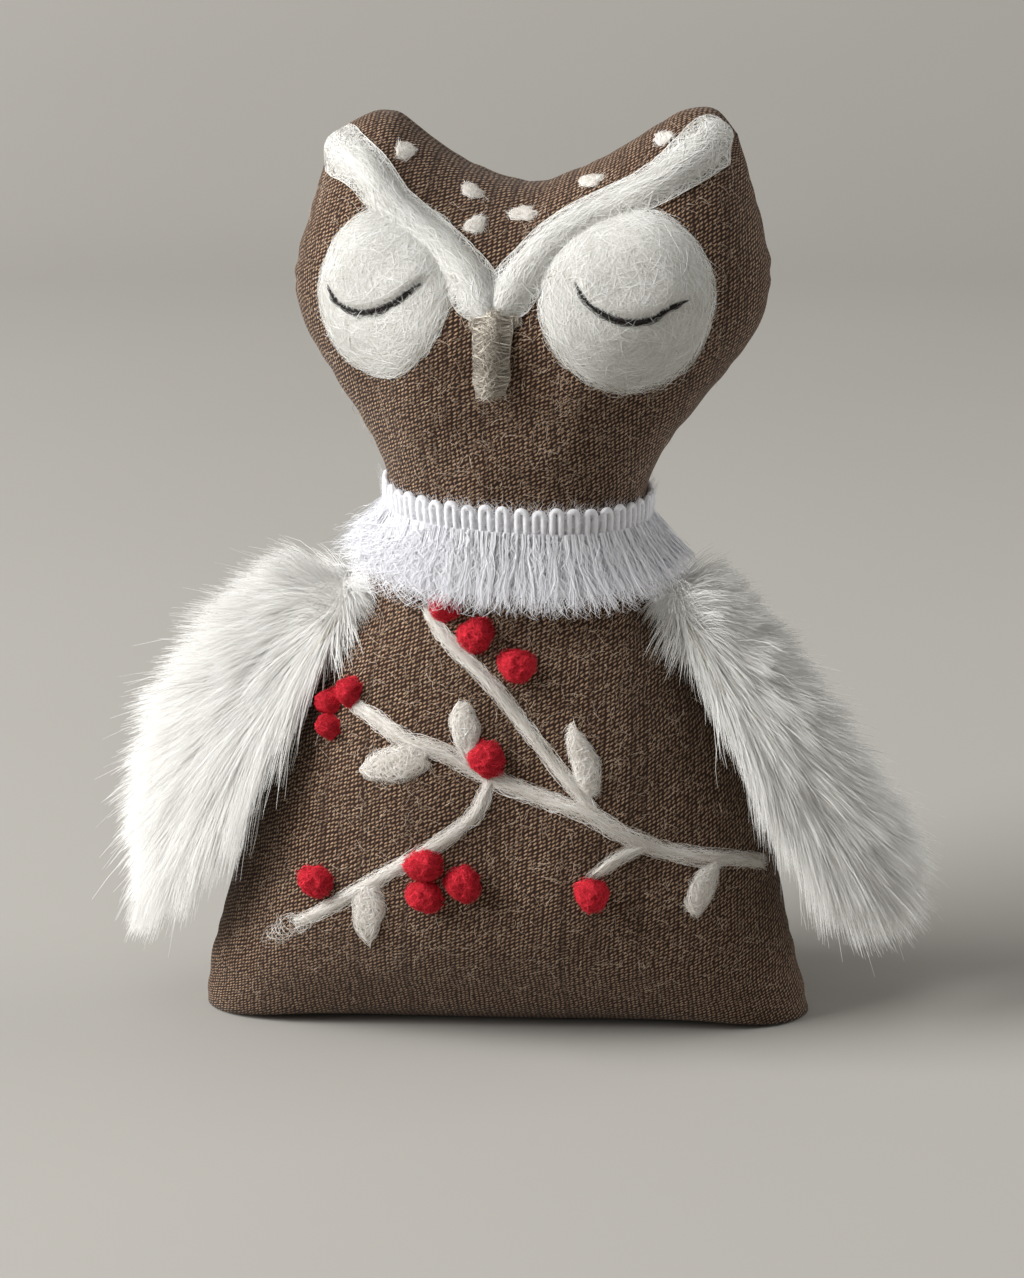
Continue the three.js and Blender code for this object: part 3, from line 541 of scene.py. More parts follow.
def twill(name):
    """Brown cotton twill on the attribute weave_mm: millimetres across and along the cloth. Each
    cell of the lattice holds one float, drawn as a long spot that leans to the right."""
    material, tree = new_material(name)
    dot = dict(give="Value", operation="DOT_PRODUCT")
    spot = add(tree, "Attribute", attribute_name="weave_mm", give="Vector")
    wander = add(tree, "TexNoise", {"Vector": spot, "Scale": 0.11, "Detail": 2.0}, give="Color")
    moved = add(tree, "VectorMath", [wander, (1.5, 1.5, 0.0), spot], operation="MULTIPLY_ADD")
    across = add(tree, "VectorMath", [moved, (1 / column_pitch, 0, 0)], **dot)
    shear = -column_step / (column_pitch * float_pitch)
    along = add(tree, "VectorMath", [moved, (shear, 1 / float_pitch, 0)], **dot)
    lattice = add(tree, "CombineXYZ", [across, along])
    cell = {"Vector": lattice, "Scale": 1.0, "Randomness": 0.3}
    middle = add(tree, "TexVoronoi", cell, give="Position", voronoi_dimensions="2D")
    chance = add(tree, "TexVoronoi", cell, give="Color", voronoi_dimensions="2D")
    chance = add(tree, "SeparateColor", [chance], give="Red")
    off = add(tree, "VectorMath", [lattice, middle], operation="SUBTRACT")
    # The offset in lattice steps, turned to shares of the float's half length and half width.
    lean = np.array([[np.cos(float_lean), np.sin(float_lean)], [-np.sin(float_lean), np.cos(float_lean)]])
    steps = np.array([[column_pitch, 0], [column_step, float_pitch]])
    lengthwise, crosswise = lean @ steps / [[float_long], [float_wide]]
    lengthwise = add(tree, "VectorMath", [off, (*lengthwise, 0)], **dot)
    crosswise = add(tree, "VectorMath", [off, (*crosswise, 0)], **dot)
    shares = add(tree, "CombineXYZ", [lengthwise, crosswise])
    reach = add(tree, "VectorMath", [shares], give="Value", operation="LENGTH")
    dash = add(tree, "MapRange", {"Value": reach, "From Min": 1.3, "From Max": 0.4},
               interpolation_type="SMOOTHSTEP")
    strength = add(tree, "MapRange", {"Value": chance, "To Min": 0.55, "To Max": 1.0})
    dash = add(tree, "Math", [dash, strength], operation="MULTIPLY")
    # Some columns lie deeper between two warps, and their shade is painted in as darker lines.
    column = add(tree, "VectorMath", [moved, (0.55, 0.006, 0.0)], operation="MULTIPLY")
    column = add(tree, "TexNoise", {"Vector": column, "Scale": 1.0, "Detail": 1.0})
    deep = add(tree, "MapRange", {"Value": column, "From Min": 0.33, "From Max": 0.46, "To Min": 0.5,
                                  "To Max": 1.0})
    dash = add(tree, "Math", [dash, deep], operation="MULTIPLY")
    slub = add(tree, "VectorMath", [spot, (0.5, 0.09, 0.0)], operation="MULTIPLY")
    slub = add(tree, "TexNoise", {"Vector": slub, "Scale": 1.0, "Detail": 3.0})
    floats = add(tree, "Mix", [slub, linear("#967357"), linear("#d9b797")], data_type="RGBA")
    colour = add(tree, "Mix", [dash, linear("#29170d"), floats], data_type="RGBA")
    bump = add(tree, "Bump", {"Height": dash, "Distance": 0.3 * MM, "Strength": 0.8})
    rough = add(tree, "MapRange", {"Value": dash, "To Min": 0.95, "To Max": 0.84})
    surface = add(tree, "BsdfPrincipled", {
        "Base Color": colour, "Roughness": rough, "Normal": bump, "Sheen Weight": 0.08,
        "Sheen Roughness": 0.6, "Specular IOR Level": 0.2})
    add(tree, "OutputMaterial", {"Surface": surface})
    return material


cover_twill = twill("brown_cotton_twill")
print("twill of", len(cover_twill.node_tree.nodes), "nodes")

# %% Cover panels
panel_columns, panel_rows = 124, 184
even_share = 0.7


def crowded(count):
    """Places from -1 to 1, closer together towards both ends."""
    return -np.cos(np.pi * np.arange(count + 1) / count)


def panel_levels(count):
    """Levels from 0 to 1, closer together towards the top seam, where the cloth turns over."""
    t = np.linspace(0, 1, count + 1)
    crown = crown_start + (1 - crown_start) * np.sin(np.pi / 2 * (t - even_share) / (1 - even_share))
    return np.where(t < even_share, crown_start * t / even_share, crown)


def weave_places(grid):
    """Millimetres across and along the cloth: the length of thread from the middle line, and the
    length up the middle line plus the drop or rise of the point beside it."""
    middle = grid.shape[1] // 2
    step = np.linalg.norm(np.diff(grid, axis=1), axis=-1)
    gone = np.concatenate([np.zeros((len(grid), 1)), np.cumsum(step, axis=1)], axis=1)
    across = gone - gone[:, middle:middle + 1]
    rise = np.linalg.norm(np.diff(grid[:, middle], axis=0), axis=-1)
    up = np.concatenate([[0], np.cumsum(rise)])[:, None] + grid[..., 2] - grid[:, middle:middle + 1, 2]
    return np.stack([across, up, 0 * up], -1)


def cloth_area(grid):
    """The area of a grid of cloth, in square millimetres."""
    return np.linalg.norm(np.cross(np.diff(grid, axis=1)[:-1], np.diff(grid, axis=0)[:, :-1]), axis=-1).sum()


def make_panel(node, side):
    """One cover panel: the cloth's outer face and its inner face as a closed slab."""
    a, b = np.meshgrid(crowded(panel_columns), panel_levels(panel_rows))
    outer = cloth(a, b, side)
    inner = cloth(a, b, side, -cover_thickness)
    weave = weave_places(outer).reshape(-1, 3)
    made = make_piece(f"{node}_twill", [slab(outer, inner, cover_twill)], "owl", [node],
                      {"weave_mm": np.tile(weave, (2, 1))})


make_panel("front_panel", -1)
make_panel("back_panel", 1)

# %% [markdown]
# ## Base gusset
# The toy stands on a boat-shaped piece of the same twill, flat under the pouch of pellets and drawn
# up to the arched bottom seams.

# %% Gusset
flat_share, gusset_power = 26 / 54, 1.5


def gusset_point(a, t, lift, swell=0.0):
    """A point of the base: t runs from the front seam at -1 to the back seam at 1. It rises from
    its flat middle to the seam."""
    rim = cloth(a, 0.0, -1, swell + gusset_inset)
    rise = (np.maximum(0, np.abs(t) - flat_share) / (1 - flat_share)) ** gusset_power
    seam = np.maximum(0, rim[..., 2] + foot_drop - gusset_thickness - seam_gap)
    return np.stack([rim[..., 0], -t * rim[..., 1], seam * rise + lift + 0 * t], -1)


a, t = np.meshgrid(crowded(90), np.linspace(-1, 1, 37))
top, low = gusset_point(a, t, gusset_thickness), gusset_point(a, t, 0.0)
weave = weave_places(top[..., [0, 2, 1]]).reshape(-1, 3)
gusset = make_piece("base_gusset_twill", [slab(top, low, cover_twill)], "owl", ["base_gusset"],
                    {"weave_mm": np.tile(weave, (2, 1))})

# %% [markdown]
# ## Filling and pouch
# Inside is loose polyester fibre, packed tight enough to round the panels, over a small calico bag
# of pellets. Both are closed padded forms one stuffing gap inside the cloth.

# %% Filling and calico materials
# Polyester fibre is matt white fluff with soft shadows in its tangles. Calico is a plain weave in a
# matt cream: a wave texture turns 20 radians a unit, which gives a thread every half millimetre here.
fluff_tangles, calico_waves = 0.42 / MM, 0.6 / MM

polyester, tree = new_material("polyester_fibre_filling")
spot = add(tree, "TexCoord", give="Object")
tangle = add(tree, "TexNoise", {"Vector": spot, "Scale": fluff_tangles, "Detail": 5.0,
                                 "Distortion": 2.5})
tint = add(tree, "Mix", [tangle, linear("#dcdad3"), linear("#f6f4ef")], data_type="RGBA")
bump = add(tree, "Bump", {"Height": tangle, "Distance": 0.8 * MM})
surface = add(tree, "BsdfPrincipled", {"Base Color": tint, "Roughness": 0.95, "Normal": bump})
add(tree, "OutputMaterial", {"Surface": surface})

calico, tree = new_material("unbleached_cotton_calico")
spot = add(tree, "TexCoord", give="Object")
wave = {"Vector": spot, "Scale": calico_waves, "Distortion": 0.6}
warp = add(tree, "TexWave", wave, bands_direction="X")
weft = add(tree, "TexWave", wave, bands_direction="Z")
threads = add(tree, "Math", [warp, weft], operation="MULTIPLY")
tint = add(tree, "Mix", [threads, linear("#b9ad97"), linear("#d8cfbd")], data_type="RGBA")
bump = add(tree, "Bump", {"Height": threads, "Distance": 0.2 * MM})
surface = add(tree, "BsdfPrincipled", {"Base Color": tint, "Roughness": 0.9, "Normal": bump})
add(tree, "OutputMaterial", {"Surface": surface})


# %% Filling forms
stuffing_gap, most_relief = 0.6, 0.3
fill_inset = -(cover_thickness + stuffing_gap)
body_foot, body_top, head_foot, head_foot_lift, head_top_flat = 0.012, 0.5955, 0.6, 0.4, 0.2
# Height of the hollow for the pouch, then its half width and half depth with how far each fades.
pouch_room, room_wide, room_wide_fade, room_deep, room_deep_fade = 19.5, 44, 10, 13, 6


def around(angle):
    """The place across the toy and the side of it, at an angle round it from the left seam."""
    return -np.cos(angle), np.where(angle < np.pi, -1.0, 1.0)


girth_a, girth_side = around(np.linspace(0, 2 * np.pi, 120, endpoint=False))


def shrunk(ring):
    """A ring with all its points at the middle of this one, to close a form."""
    return ring.mean(0) + np.zeros((1, *ring.shape))


def padded_piece(name, rings, material, node):
    """A closed padded form through rings of points. Its end rings lie at one point or in one line,
    and what coincides there is merged."""
    faces, shares = grid_faces(*rings.shape[:2], wrap=True)
    made = make_piece(name, [solid(rings.reshape(-1, 3), faces, shares, material)], "owl", [node])
    work = bmesh.new()
    work.from_mesh(made.data)
    bmesh.ops.remove_doubles(work, verts=work.verts, dist=0.01 * MM)
    work.to_mesh(made.data)
    work.free()
    made.data.shade_smooth()


def fill_rings(levels):
    """Rings of the filling at these levels, one gap inside the cloth."""
    a, b = np.broadcast_arrays(girth_a[None], levels[:, None])
    swell = fill_inset + np.minimum(relief(a, b, girth_side[None]), most_relief)
    return cover(a, b, girth_side[None], swell)


floor = np.stack([gusset_point(girth_a, girth_side * share, gusset_thickness + stuffing_gap, fill_inset)
                  for share in np.linspace(0.02, 1, 16)])
floor[..., 2] += (pouch_room * (1 - smooth((np.abs(floor[..., 0]) - room_wide) / room_wide_fade))
                  * (1 - smooth((np.abs(floor[..., 1]) - room_deep) / room_deep_fade)))
sides = fill_rings(np.linspace(body_foot, body_top, 70))
body = np.concatenate([shrunk(floor[0]), floor, sides, shrunk(sides[-1])])
padded_piece("body_filling", body, polyester, "body_stuffing")

head = fill_rings(head_foot + (1 - head_foot) * np.sin(np.pi / 2 * np.linspace(0.005, 1, 70)))
head[0, :, 2] += head_foot_lift
head[-1, :, 1] *= head_top_flat
padded_piece("head_filling", np.concatenate([shrunk(head[0]), head]), polyester, "head_stuffing")

# %% Pellet pouch
pouch_wide, pouch_deep, pouch_tall, pouch_lump = 100.0, 32.0, 18.0, 0.5
# Level, then shares of the width and the depth.
pouch_table = np.array([[0, 0.86, 0.66], [0.15, 0.97, 0.86], [0.5, 1, 1], [0.8, 0.92, 0.86], [1, 0.66, 0.5]])


def pouch_rings(count=26):
    """Rings of a slack bag: its width and depth come from a table, and the pellets show as low
    lumps, more towards the top."""
    level = np.linspace(0, 1, count)[:, None]
    wide, deep = through(pouch_table, 1, level), through(pouch_table, 2, level)
    round_share = np.sqrt(np.maximum(0, 1 - np.abs(girth_a) ** section_power))
    x = girth_a * wide * pouch_wide / 2
    y = girth_side * round_share * deep * pouch_deep / 2
    lump = pouch_lump * (np.sin(x / 4.1) * np.cos(y / 3.3) - 1) * level
    return np.stack([x, y, gusset_thickness + stuffing_gap + level * pouch_tall + lump], -1)


pouch = pouch_rings()
padded_piece("weight_pouch_bag", np.concatenate([shrunk(pouch[0]), pouch, shrunk(pouch[-1])]), calico,
             "weight_pouch")

# %% [markdown]
# ## Needle-felted wool
# The face and the sprig are loose merino wool, stabbed into the twill with a barbed needle until it
# mats. The eye sees a soft matt pad with fine fibres that swirl over it and stray past its edge. The
# pad is a slab settled on the cloth, and the strays are ribbons.

# %% Wool materials
wool_tangles, wool_clouds = 0.9 / MM, 0.13 / MM


def felted_wool(name, dark, light, sheen):
    """Matted wool: tangles from a millimetre down to a tenth of one, in light and shade over
    broader clouds of tone, with no gloss."""
    material, tree = new_material(name)
    spot = add(tree, "TexCoord", give="Object")
    tangle = add(tree, "TexNoise", {"Vector": spot, "Scale": wool_tangles, "Detail": 4.0,
                                     "Distortion": 3.0})
    broad = add(tree, "TexNoise", {"Vector": spot, "Scale": wool_clouds, "Detail": 2.0})
    mixed = add(tree, "Math", [tangle, 0.6, add(tree, "Math", [broad, 0.4], operation="MULTIPLY")],
                operation="MULTIPLY_ADD")
    level = add(tree, "MapRange", {"Value": mixed, "From Min": 0.32, "From Max": 0.68})
    tint = add(tree, "Mix", [level, linear(dark), linear(light)], data_type="RGBA")
    bump = add(tree, "Bump", {"Height": tangle, "Distance": 0.35 * MM, "Strength": 0.6})
    rough = add(tree, "MapRange", {"Value": tangle, "To Min": 1.0, "To Max": 0.85})
    surface = add(tree, "BsdfPrincipled", {
        "Base Color": tint, "Roughness": rough, "Normal": bump, "Sheen Weight": sheen,
        "Sheen Roughness": 0.5, "Specular IOR Level": 0.2})
    add(tree, "OutputMaterial", {"Surface": surface})
    return material


def loose_fibres(name, dark, light, rough_root=0.95, rough_tip=0.75, sheen=0.15):
    """Single fibres: each has its own tone, written across its map, and shines a little more
    towards its tip, along its map."""
    material, tree = new_material(name)
    across = add(tree, "SeparateXYZ", [add(tree, "UVMap", uv_map="UVMap")], give="X")
    along = add(tree, "SeparateXYZ", [add(tree, "UVMap", uv_map="UVMap")], give="Y")
    tone = add(tree, "MapRange", {"Value": across, "From Min": HAIR_START,
                                  "From Max": HAIR_START + HAIR_WIDE})
    tint = add(tree, "Mix", [tone, linear(dark), linear(light)], data_type="RGBA")
    rough = add(tree, "MapRange", {"Value": along, "To Min": rough_root, "To Max": rough_tip})
    surface = add(tree, "BsdfPrincipled", {
        "Base Color": tint, "Roughness": rough, "Sheen Weight": sheen, "Specular IOR Level": 0.25})
    add(tree, "OutputMaterial", {"Surface": surface})
    return material


white_wool = (felted_wool("felted_white_merino", "#c8c6be", "#f0efea", 0.1),
              loose_fibres("loose_white_merino", "#cdcbc3", "#f5f5f2"))
sprig_wool = (felted_wool("thin_white_merino_roving", "#cfc7ba", "#f3efe8", 0.1),
              loose_fibres("frayed_white_merino", "#cfc6ba", "#faf8f4"))
black_wool = (felted_wool("felted_black_merino", "#0d0b0b", "#2a2727", 0.05),
              loose_fibres("loose_black_merino", "#0d0b0b", "#3a3534", sheen=0.0))
grey_wool = (felted_wool("felted_taupe_merino", "#675d4f", "#a19687", 0.1),
             loose_fibres("loose_taupe_merino", "#6a6053", "#e0d8ca"))
red_wool = (felted_wool("felted_red_merino", "#9e0a18", "#dc1b2c", 0.0),
            loose_fibres("loose_red_merino", "#9a0a18", "#f43648", sheen=0.0))
print("materials so far:", len(bpy.data.materials))

# %% [markdown]
# ### Settling wool on the cloth
# A piece of wool is drawn flat, in millimetres beside and above a place on the front panel, and then
# laid on the curved cloth. The spot under a drawn point is found by Newton's method: the slopes of
# the cloth say how far to move across and up until the offset from the place is the drawn one.

# %% Settling
nudge, edge_share, foot_share, top_share, newton_steps = 0.001, 0.985, 0.008, 0.0025, 5


def front(a, b):
    """The outer face of the front panel."""
    return cloth(a, b, -1.0)


def slopes(a, b):
    """How the front panel runs per unit of a and of b, and its outward direction."""
    along_a = (front(a + nudge, b) - front(a - nudge, b)) / (2 * nudge)
    along_b = (front(a, b + nudge) - front(a, b - nudge)) / (2 * nudge)
    return along_a, along_b, unit(np.cross(along_a, along_b))


def place_at(a, b):
    """Places on the front panel, with the level and the upward direction along the cloth there."""
    a, b = np.asarray(a, float), np.asarray(b, float)
    out = slopes(a, b)[2]
    level = unit(np.stack([-out[..., 1], out[..., 0], 0 * out[..., 0]], -1))
    return SimpleNamespace(a=a, b=b, point=front(a, b), level=level, upward=np.cross(out, level))


def seen_at(place, vectors):
    """How far vectors run along the level and the upward direction of a place."""
    return np.sum(vectors * place.level, -1), np.sum(vectors * place.upward, -1)


def settle(place, right, rise, lift=0.0):
    """Points on the cloth so far to the right of and above a place, lifted off the cloth, with
    the outward directions there and the shares across and up."""
    a, b = place.a + 0 * right, place.b + 0 * rise
    for _ in range(newton_steps):
        along_a, along_b, _out = slopes(a, b)
        gone_right, gone_rise = seen_at(place, front(a, b) - place.point)
        miss_right, miss_rise = right - gone_right, rise - gone_rise
        a_right, a_rise = seen_at(place, along_a)
        b_right, b_rise = seen_at(place, along_b)
        area = a_right * b_rise - a_rise * b_right
        a = np.clip(a + (miss_right * b_rise - miss_rise * b_right) / area, -edge_share, edge_share)
        b = np.clip(b + (miss_rise * a_right - miss_right * a_rise) / area, foot_share, 1 - top_share)
    out = slopes(a, b)[2]
    return front(a, b) + out * np.asarray(lift)[..., None], out, a, b


# %% Paths on the cloth
def on_path(path, t):
    """The shares across and up at t along the smooth curve through a path's points."""
    table = np.column_stack([np.linspace(0, 1, len(path)), np.array(path)])
    return through(table, 1, t), through(table, 2, t)


def path_length(path):
    """The length of a path on the cloth, in millimetres."""
    points = front(*on_path(path, np.linspace(0, 1, 60)))
    return np.linalg.norm(np.diff(points, axis=0), axis=-1).sum()


def on_strip(path, t, beside, lift):
    """Points at t along a path, so many millimetres beside it and over the cloth. Before 0 and
    after 1 they run straight on, off the ends of the path."""
    held = np.clip(t, 0, 1)
    place = place_at(*on_path(path, held))
    ahead, behind = np.clip(held + nudge, 0, 1), np.clip(held - nudge, 0, 1)
    way_right, way_rise = seen_at(place, front(*on_path(path, ahead)) - front(*on_path(path, behind)))
    heading = np.arctan2(way_rise, way_right)
    beyond = (t - held) * path_length(path)
    return settle(place, beyond * np.cos(heading) - beside * np.sin(heading),
                  beyond * np.sin(heading) + beside * np.cos(heading), lift)[:2]


# %% Felt strips
pad_rise, fibre_rise, fibre_tilt, fibre_points = 0.08, 0.1, 0.22, 6
slope_step, steepest = 0.04, 1.5


def felted(top, bottom, lines, facing, wool, rng, *, fibre_width, thinnest):
    """A felted pad as a slab with its loose fibres, which are turned a little out of the way that
    they face and thin out towards both ends."""
    count = len(lines)
    facing = facing + rng.normal(0, fibre_tilt, (count, 1, 3))
    taper = 1 - 0.75 * np.abs(np.linspace(-1, 1, fibre_points)) ** 3
    width = fibre_width * rng.uniform(thinnest, 1.4, (count, 1)) * taper
    return [slab(top, bottom, wool[0]), ribbons(lines, width, facing, rng.random(count), wool[1])]


def felt_strip(path, shape, wool, seed, *, wide, thick, count, stray, fibre_long, tangle, fray, loft,
               lift=lambda t, q: 0 * t, steps=60, fibre_width=0.11, core=0.86, end_fray=(2.5, 2.5),
               splay=0.3):
    """A felted roving: a closed domed band along the path, and fibres that run along it, ride up
    over it and fray past its edges and ends. t runs along the path, q across the band from -1 to
    1, and s along one fibre."""
    rng = np.random.default_rng(seed)
    whole = path_length(path)
    each = (count, 1)

    def dome_at(t, q):
        """The height of the band: rounded across, thinner where the path narrows."""
        narrow = np.sqrt(np.maximum(0, through(shape, 1, np.clip(t, 0, 1))))
        return thick * narrow * (1 - 0.9 * np.minimum(np.abs(q), 1) ** 2.2)

    t, q = np.meshgrid(np.linspace(0, 1, steps), np.linspace(-1, 1, 17), indexing="ij")
    wave = 1 + 0.07 * np.sin(t * 37 + seed) + 0.06 * np.sin(t * 83 + 2 * seed)
    grooves = 0.08 * thick * np.sin(q * 9 + 3 * np.sin(t * 8 + seed)) * (1 - q * q)
    beside = q * core * wide * through(shape, 1, t) * wave / 2
    top = on_strip(path, t, beside, lift(t, q) + pad_rise + dome_at(t, q) + grooves)[0]
    bottom = on_strip(path, t, beside, lift(t, q))[0]

    s = np.linspace(0, 1, fibre_points)
    frayed = rng.random(count) < 0.25
    reach = rng.uniform(*fibre_long, count) / whole * np.where(frayed, 0.6, 1)
    middle = rng.uniform(-0.06, 1.06, count)
    low, high = -end_fray[0] * rng.random(count) / whole, 1 + end_fray[1] * rng.random(count) / whole
    first = np.clip(middle - reach / 2, low, high - 2 / whole)
    last = np.clip(middle + reach / 2, first + 2 / whole, high)
    t = first[:, None] + (last - first)[:, None] * s
    own = np.clip(rng.normal(0, stray, count), -1.05, 1.05)
    own = np.where(frayed, np.sign(own) * rng.uniform(0.55, 1.05, count), own)[:, None]
    weave = rng.normal(0, tangle, each) * np.sin(np.pi * s * rng.uniform(0.6, 2.4, each))
    across = rng.normal(0, tangle * 1.6, count) + np.where(frayed, rng.normal(0, 0.6, count), 0)
    q = np.clip(own + weave + across[:, None] * (s - 0.5), -fray, fray)
    held = np.clip(t, 0, 1)
    spread = np.maximum(through(shape, 1, held), splay)
    arch = rng.uniform(0.04, loft, each) * np.sin(np.pi * s) ** 0.7
    lines, out = on_strip(path, t, q * wide * spread / 2, lift(held, q) + fibre_rise + dome_at(t, q) + arch)
    fall = (dome_at(t, q + slope_step) - dome_at(t, q - slope_step)) / (slope_step * wide * spread)
    lean = np.clip(fall, -steepest, steepest)[..., None]
    facing = out - lean * np.cross(out, unit(np.gradient(lines, axis=1)))
    return felted(top, bottom, lines, facing, wool, rng, fibre_width=fibre_width, thinnest=0.6)


# %% Felt patches
def disc_grid(steps):
    """A square grid drawn onto a round disc, so that the patch has no pole: each side coordinate
    shrinks as the other grows."""
    u, v = np.meshgrid(np.linspace(-1, 1, steps), np.linspace(-1, 1, steps))
    return u * np.sqrt(1 - v * v / 2), v * np.sqrt(1 - u * u / 2)


def felt_patch(place, height_at, wool, seed, *, wide, tall, count, steps, fibre_long, overhang,
               stray_reach, swirl, lump, base, turn=0.0, point=0.0, slant=0.0, fibre_width=0.1, loft=0.35):
    """A felted patch: a closed domed pad on the cloth with an uneven rim, and curved fibres that
    wander over it. Most end at its rim, and some stray past it over the cloth."""
    rng = np.random.default_rng(seed)
    phases = rng.uniform(0, 2 * np.pi, 4)
    each = (count, 1)

    def turned(right, rise):
        """A step to the right and up, turned with the patch."""
        return right * np.cos(turn) - rise * np.sin(turn), right * np.sin(turn) + rise * np.cos(turn)

    def drawn(x, y):
        """Shares of the half width and half height as millimetres right and up, in the patch's
        own pointed shape."""
        angle = np.arctan2(y, x)
        rim = 1 + lump * (np.sin(2 * angle + phases[0]) + 0.7 * np.sin(3 * angle + phases[1])
                          + 0.4 * np.sin(7 * angle + phases[2])) * np.hypot(x, y)
        narrow = np.maximum(0, 1 - y * y) ** (point / 2)
        along = y * rim * tall / 2
        return turned(x * rim * narrow * wide / 2 + slant * along, along)

    x, y = disc_grid(steps)
    top = settle(place, *drawn(base * x, base * y), pad_rise + height_at(x, y))[0]
    bottom = settle(place, *drawn(base * x, base * y), 0 * x)[0]

    # Near the rim the fibres run round it, and in the middle they lie every way.
    angle, radius = rng.uniform(0, 2 * np.pi, count), np.sqrt(rng.random(count))
    length = rng.uniform(*fibre_long, count)
    heading = angle + np.pi / 2 + rng.normal(0, swirl, count) * (1.25 - radius)
    bend = rng.normal(0.4, 1.2, count) * length / np.mean(fibre_long)
    s = np.linspace(-0.5, 0.5, fibre_points)
    curve = heading[:, None] + bend[:, None] * s
    run = np.cumsum([np.cos(curve), np.sin(curve)], axis=2)
    run = (run - run.mean(2, keepdims=True)) * length[:, None] / (fibre_points - 1)
    px = (radius * np.cos(angle))[:, None] + run[0] / (wide / 2)
    py = (radius * np.sin(angle))[:, None] + run[1] / (tall / 2)
    size = np.maximum(np.hypot(px, py), 1e-6)
    strays = rng.random(each) < 0.16
    most = 1 + np.where(strays, stray_reach, overhang) * rng.random(each)
    pull = np.where(size > most, (most + 0.15 * (size - most)) / size, 1)
    pull = np.minimum(pull, (1 + stray_reach) / size)
    px, py = px * pull, py * pull
    inside = np.minimum(1, 0.999 / np.maximum(np.hypot(px, py), 1e-6))
    x, y = px * inside, py * inside
    lift = fibre_rise + height_at(x, y) + rng.uniform(0, loft, each) * np.cos(np.pi * s)
    lines, out = settle(place, *drawn(px, py), lift)[:2]
    fall_x = (height_at(x + slope_step, y) - height_at(x - slope_step, y)) / (slope_step * wide)
    fall_y = (height_at(x, y + slope_step) - height_at(x, y - slope_step)) / (slope_step * tall)
    lean = turned(np.clip(fall_x, -steepest, steepest), np.clip(fall_y, -steepest, steepest))
    facing = out - lean[0][..., None] * place.level - lean[1][..., None] * place.upward
    return felted(top, bottom, lines, facing, wool, rng, fibre_width=fibre_width, thinnest=0.5)


def domed(thick):
    """The height of a plain dome over a disc: full in the middle, nothing at the rim."""
    return lambda x, y: thick * np.sqrt(np.maximum(0, 1 - np.hypot(x, y) ** 2))


def wool_piece(node, parts):
    """A felted piece, which stands for the CAD node of its name."""
    make_piece(f"{node}_wool", parts, "owl", [node])


# %% [markdown]
# Worn twill is covered with short loose ends of its own cotton. They are few, but against the dark
# ground they are the first thing that the eye catches.

# %% Nap of the front panel
cotton_nap = loose_fibres("brown_cotton_nap", "#6f5846", "#d0bda9", sheen=0.05)
nap_hairs, nap_points, nap_seed = 6000, 4, 31


def nap():
    """Short curved hairs that lie on the front panel or stand a little off it."""
    rng = np.random.default_rng(nap_seed)
    each = (nap_hairs, 1)
    place = place_at(rng.uniform(-0.97, 0.97, each), rng.uniform(0.01, 0.985, each))
    t = np.linspace(0, 1, nap_points)
    heading = rng.uniform(0, 2 * np.pi, each) + rng.normal(0, 1.3, each) * t
    length = rng.uniform(1.2, 5.0, each) / (nap_points - 1)
    right, rise = np.cumsum(np.cos(heading), 1) * length, np.cumsum(np.sin(heading), 1) * length
    lift = 0.12 + 1.6 * rng.random(each) ** 3 * np.sin(np.pi * t * rng.uniform(0.5, 1, each))
    lines, out = settle(place, right, rise, lift)[:2]
    facing = out + rng.normal(0, 0.3, (nap_hairs, 1, 3))
    return ribbons(lines, 0.1 * (1 - 0.5 * t), facing, rng.random(nap_hairs), cotton_nap)


make_piece("front_panel_nap", [nap()], "owl", ["front_panel"])

# %% [markdown]
# ## The face
# Two brows of unspun roving run from the ears down into a V over the beak. Under them lie the eye
# discs. Each has a swollen lid over its upper part, which ends in a crease with a fine black arc.

# %% Brows
# Way along the brow, then its width as a share of the whole.
brow_shape = np.array([[0, 0.12], [0.012, 0.5], [0.03, 0.8], [0.06, 1.02], [0.11, 1.16], [0.2, 1.15],
                       [0.32, 1.02], [0.5, 0.95], [0.72, 1.05], [0.86, 1.15], [0.94, 0.95], [1, 0.4]])
# Places across and up the front panel, from each ear down to the beak.
brow_paths = {
    "left": [(-0.945, 0.986), (-0.9, 0.979), (-0.82, 0.964), (-0.7, 0.948), (-0.58, 0.936), (-0.45, 0.93),
             (-0.31, 0.922), (-0.19, 0.902), (-0.115, 0.876), (-0.07, 0.85)],
    "right": [(0.945, 0.984), (0.89, 0.975), (0.81, 0.961), (0.7, 0.951), (0.56, 0.949), (0.42, 0.953),
              (0.28, 0.951), (0.15, 0.938), (0.055, 0.91), (0.0, 0.88), (-0.03, 0.854)],
}
for seed, (side, path) in enumerate(brow_paths.items(), 11):
    parts = felt_strip(path, brow_shape, white_wool, seed, wide=9.2, thick=2.6, count=2900, stray=0.52,
                       fibre_long=(6.0, 15.0), tangle=0.36, fray=1.26, loft=0.5, core=0.92,
                       end_fray=(1.0, 5.0))
    wool_piece(f"brow_{side}", parts)

# %% Eye discs and lids
eye_thick, lid_swell, crease_depth, lash_rise = 1.3, 1.5, 0.35, 0.35
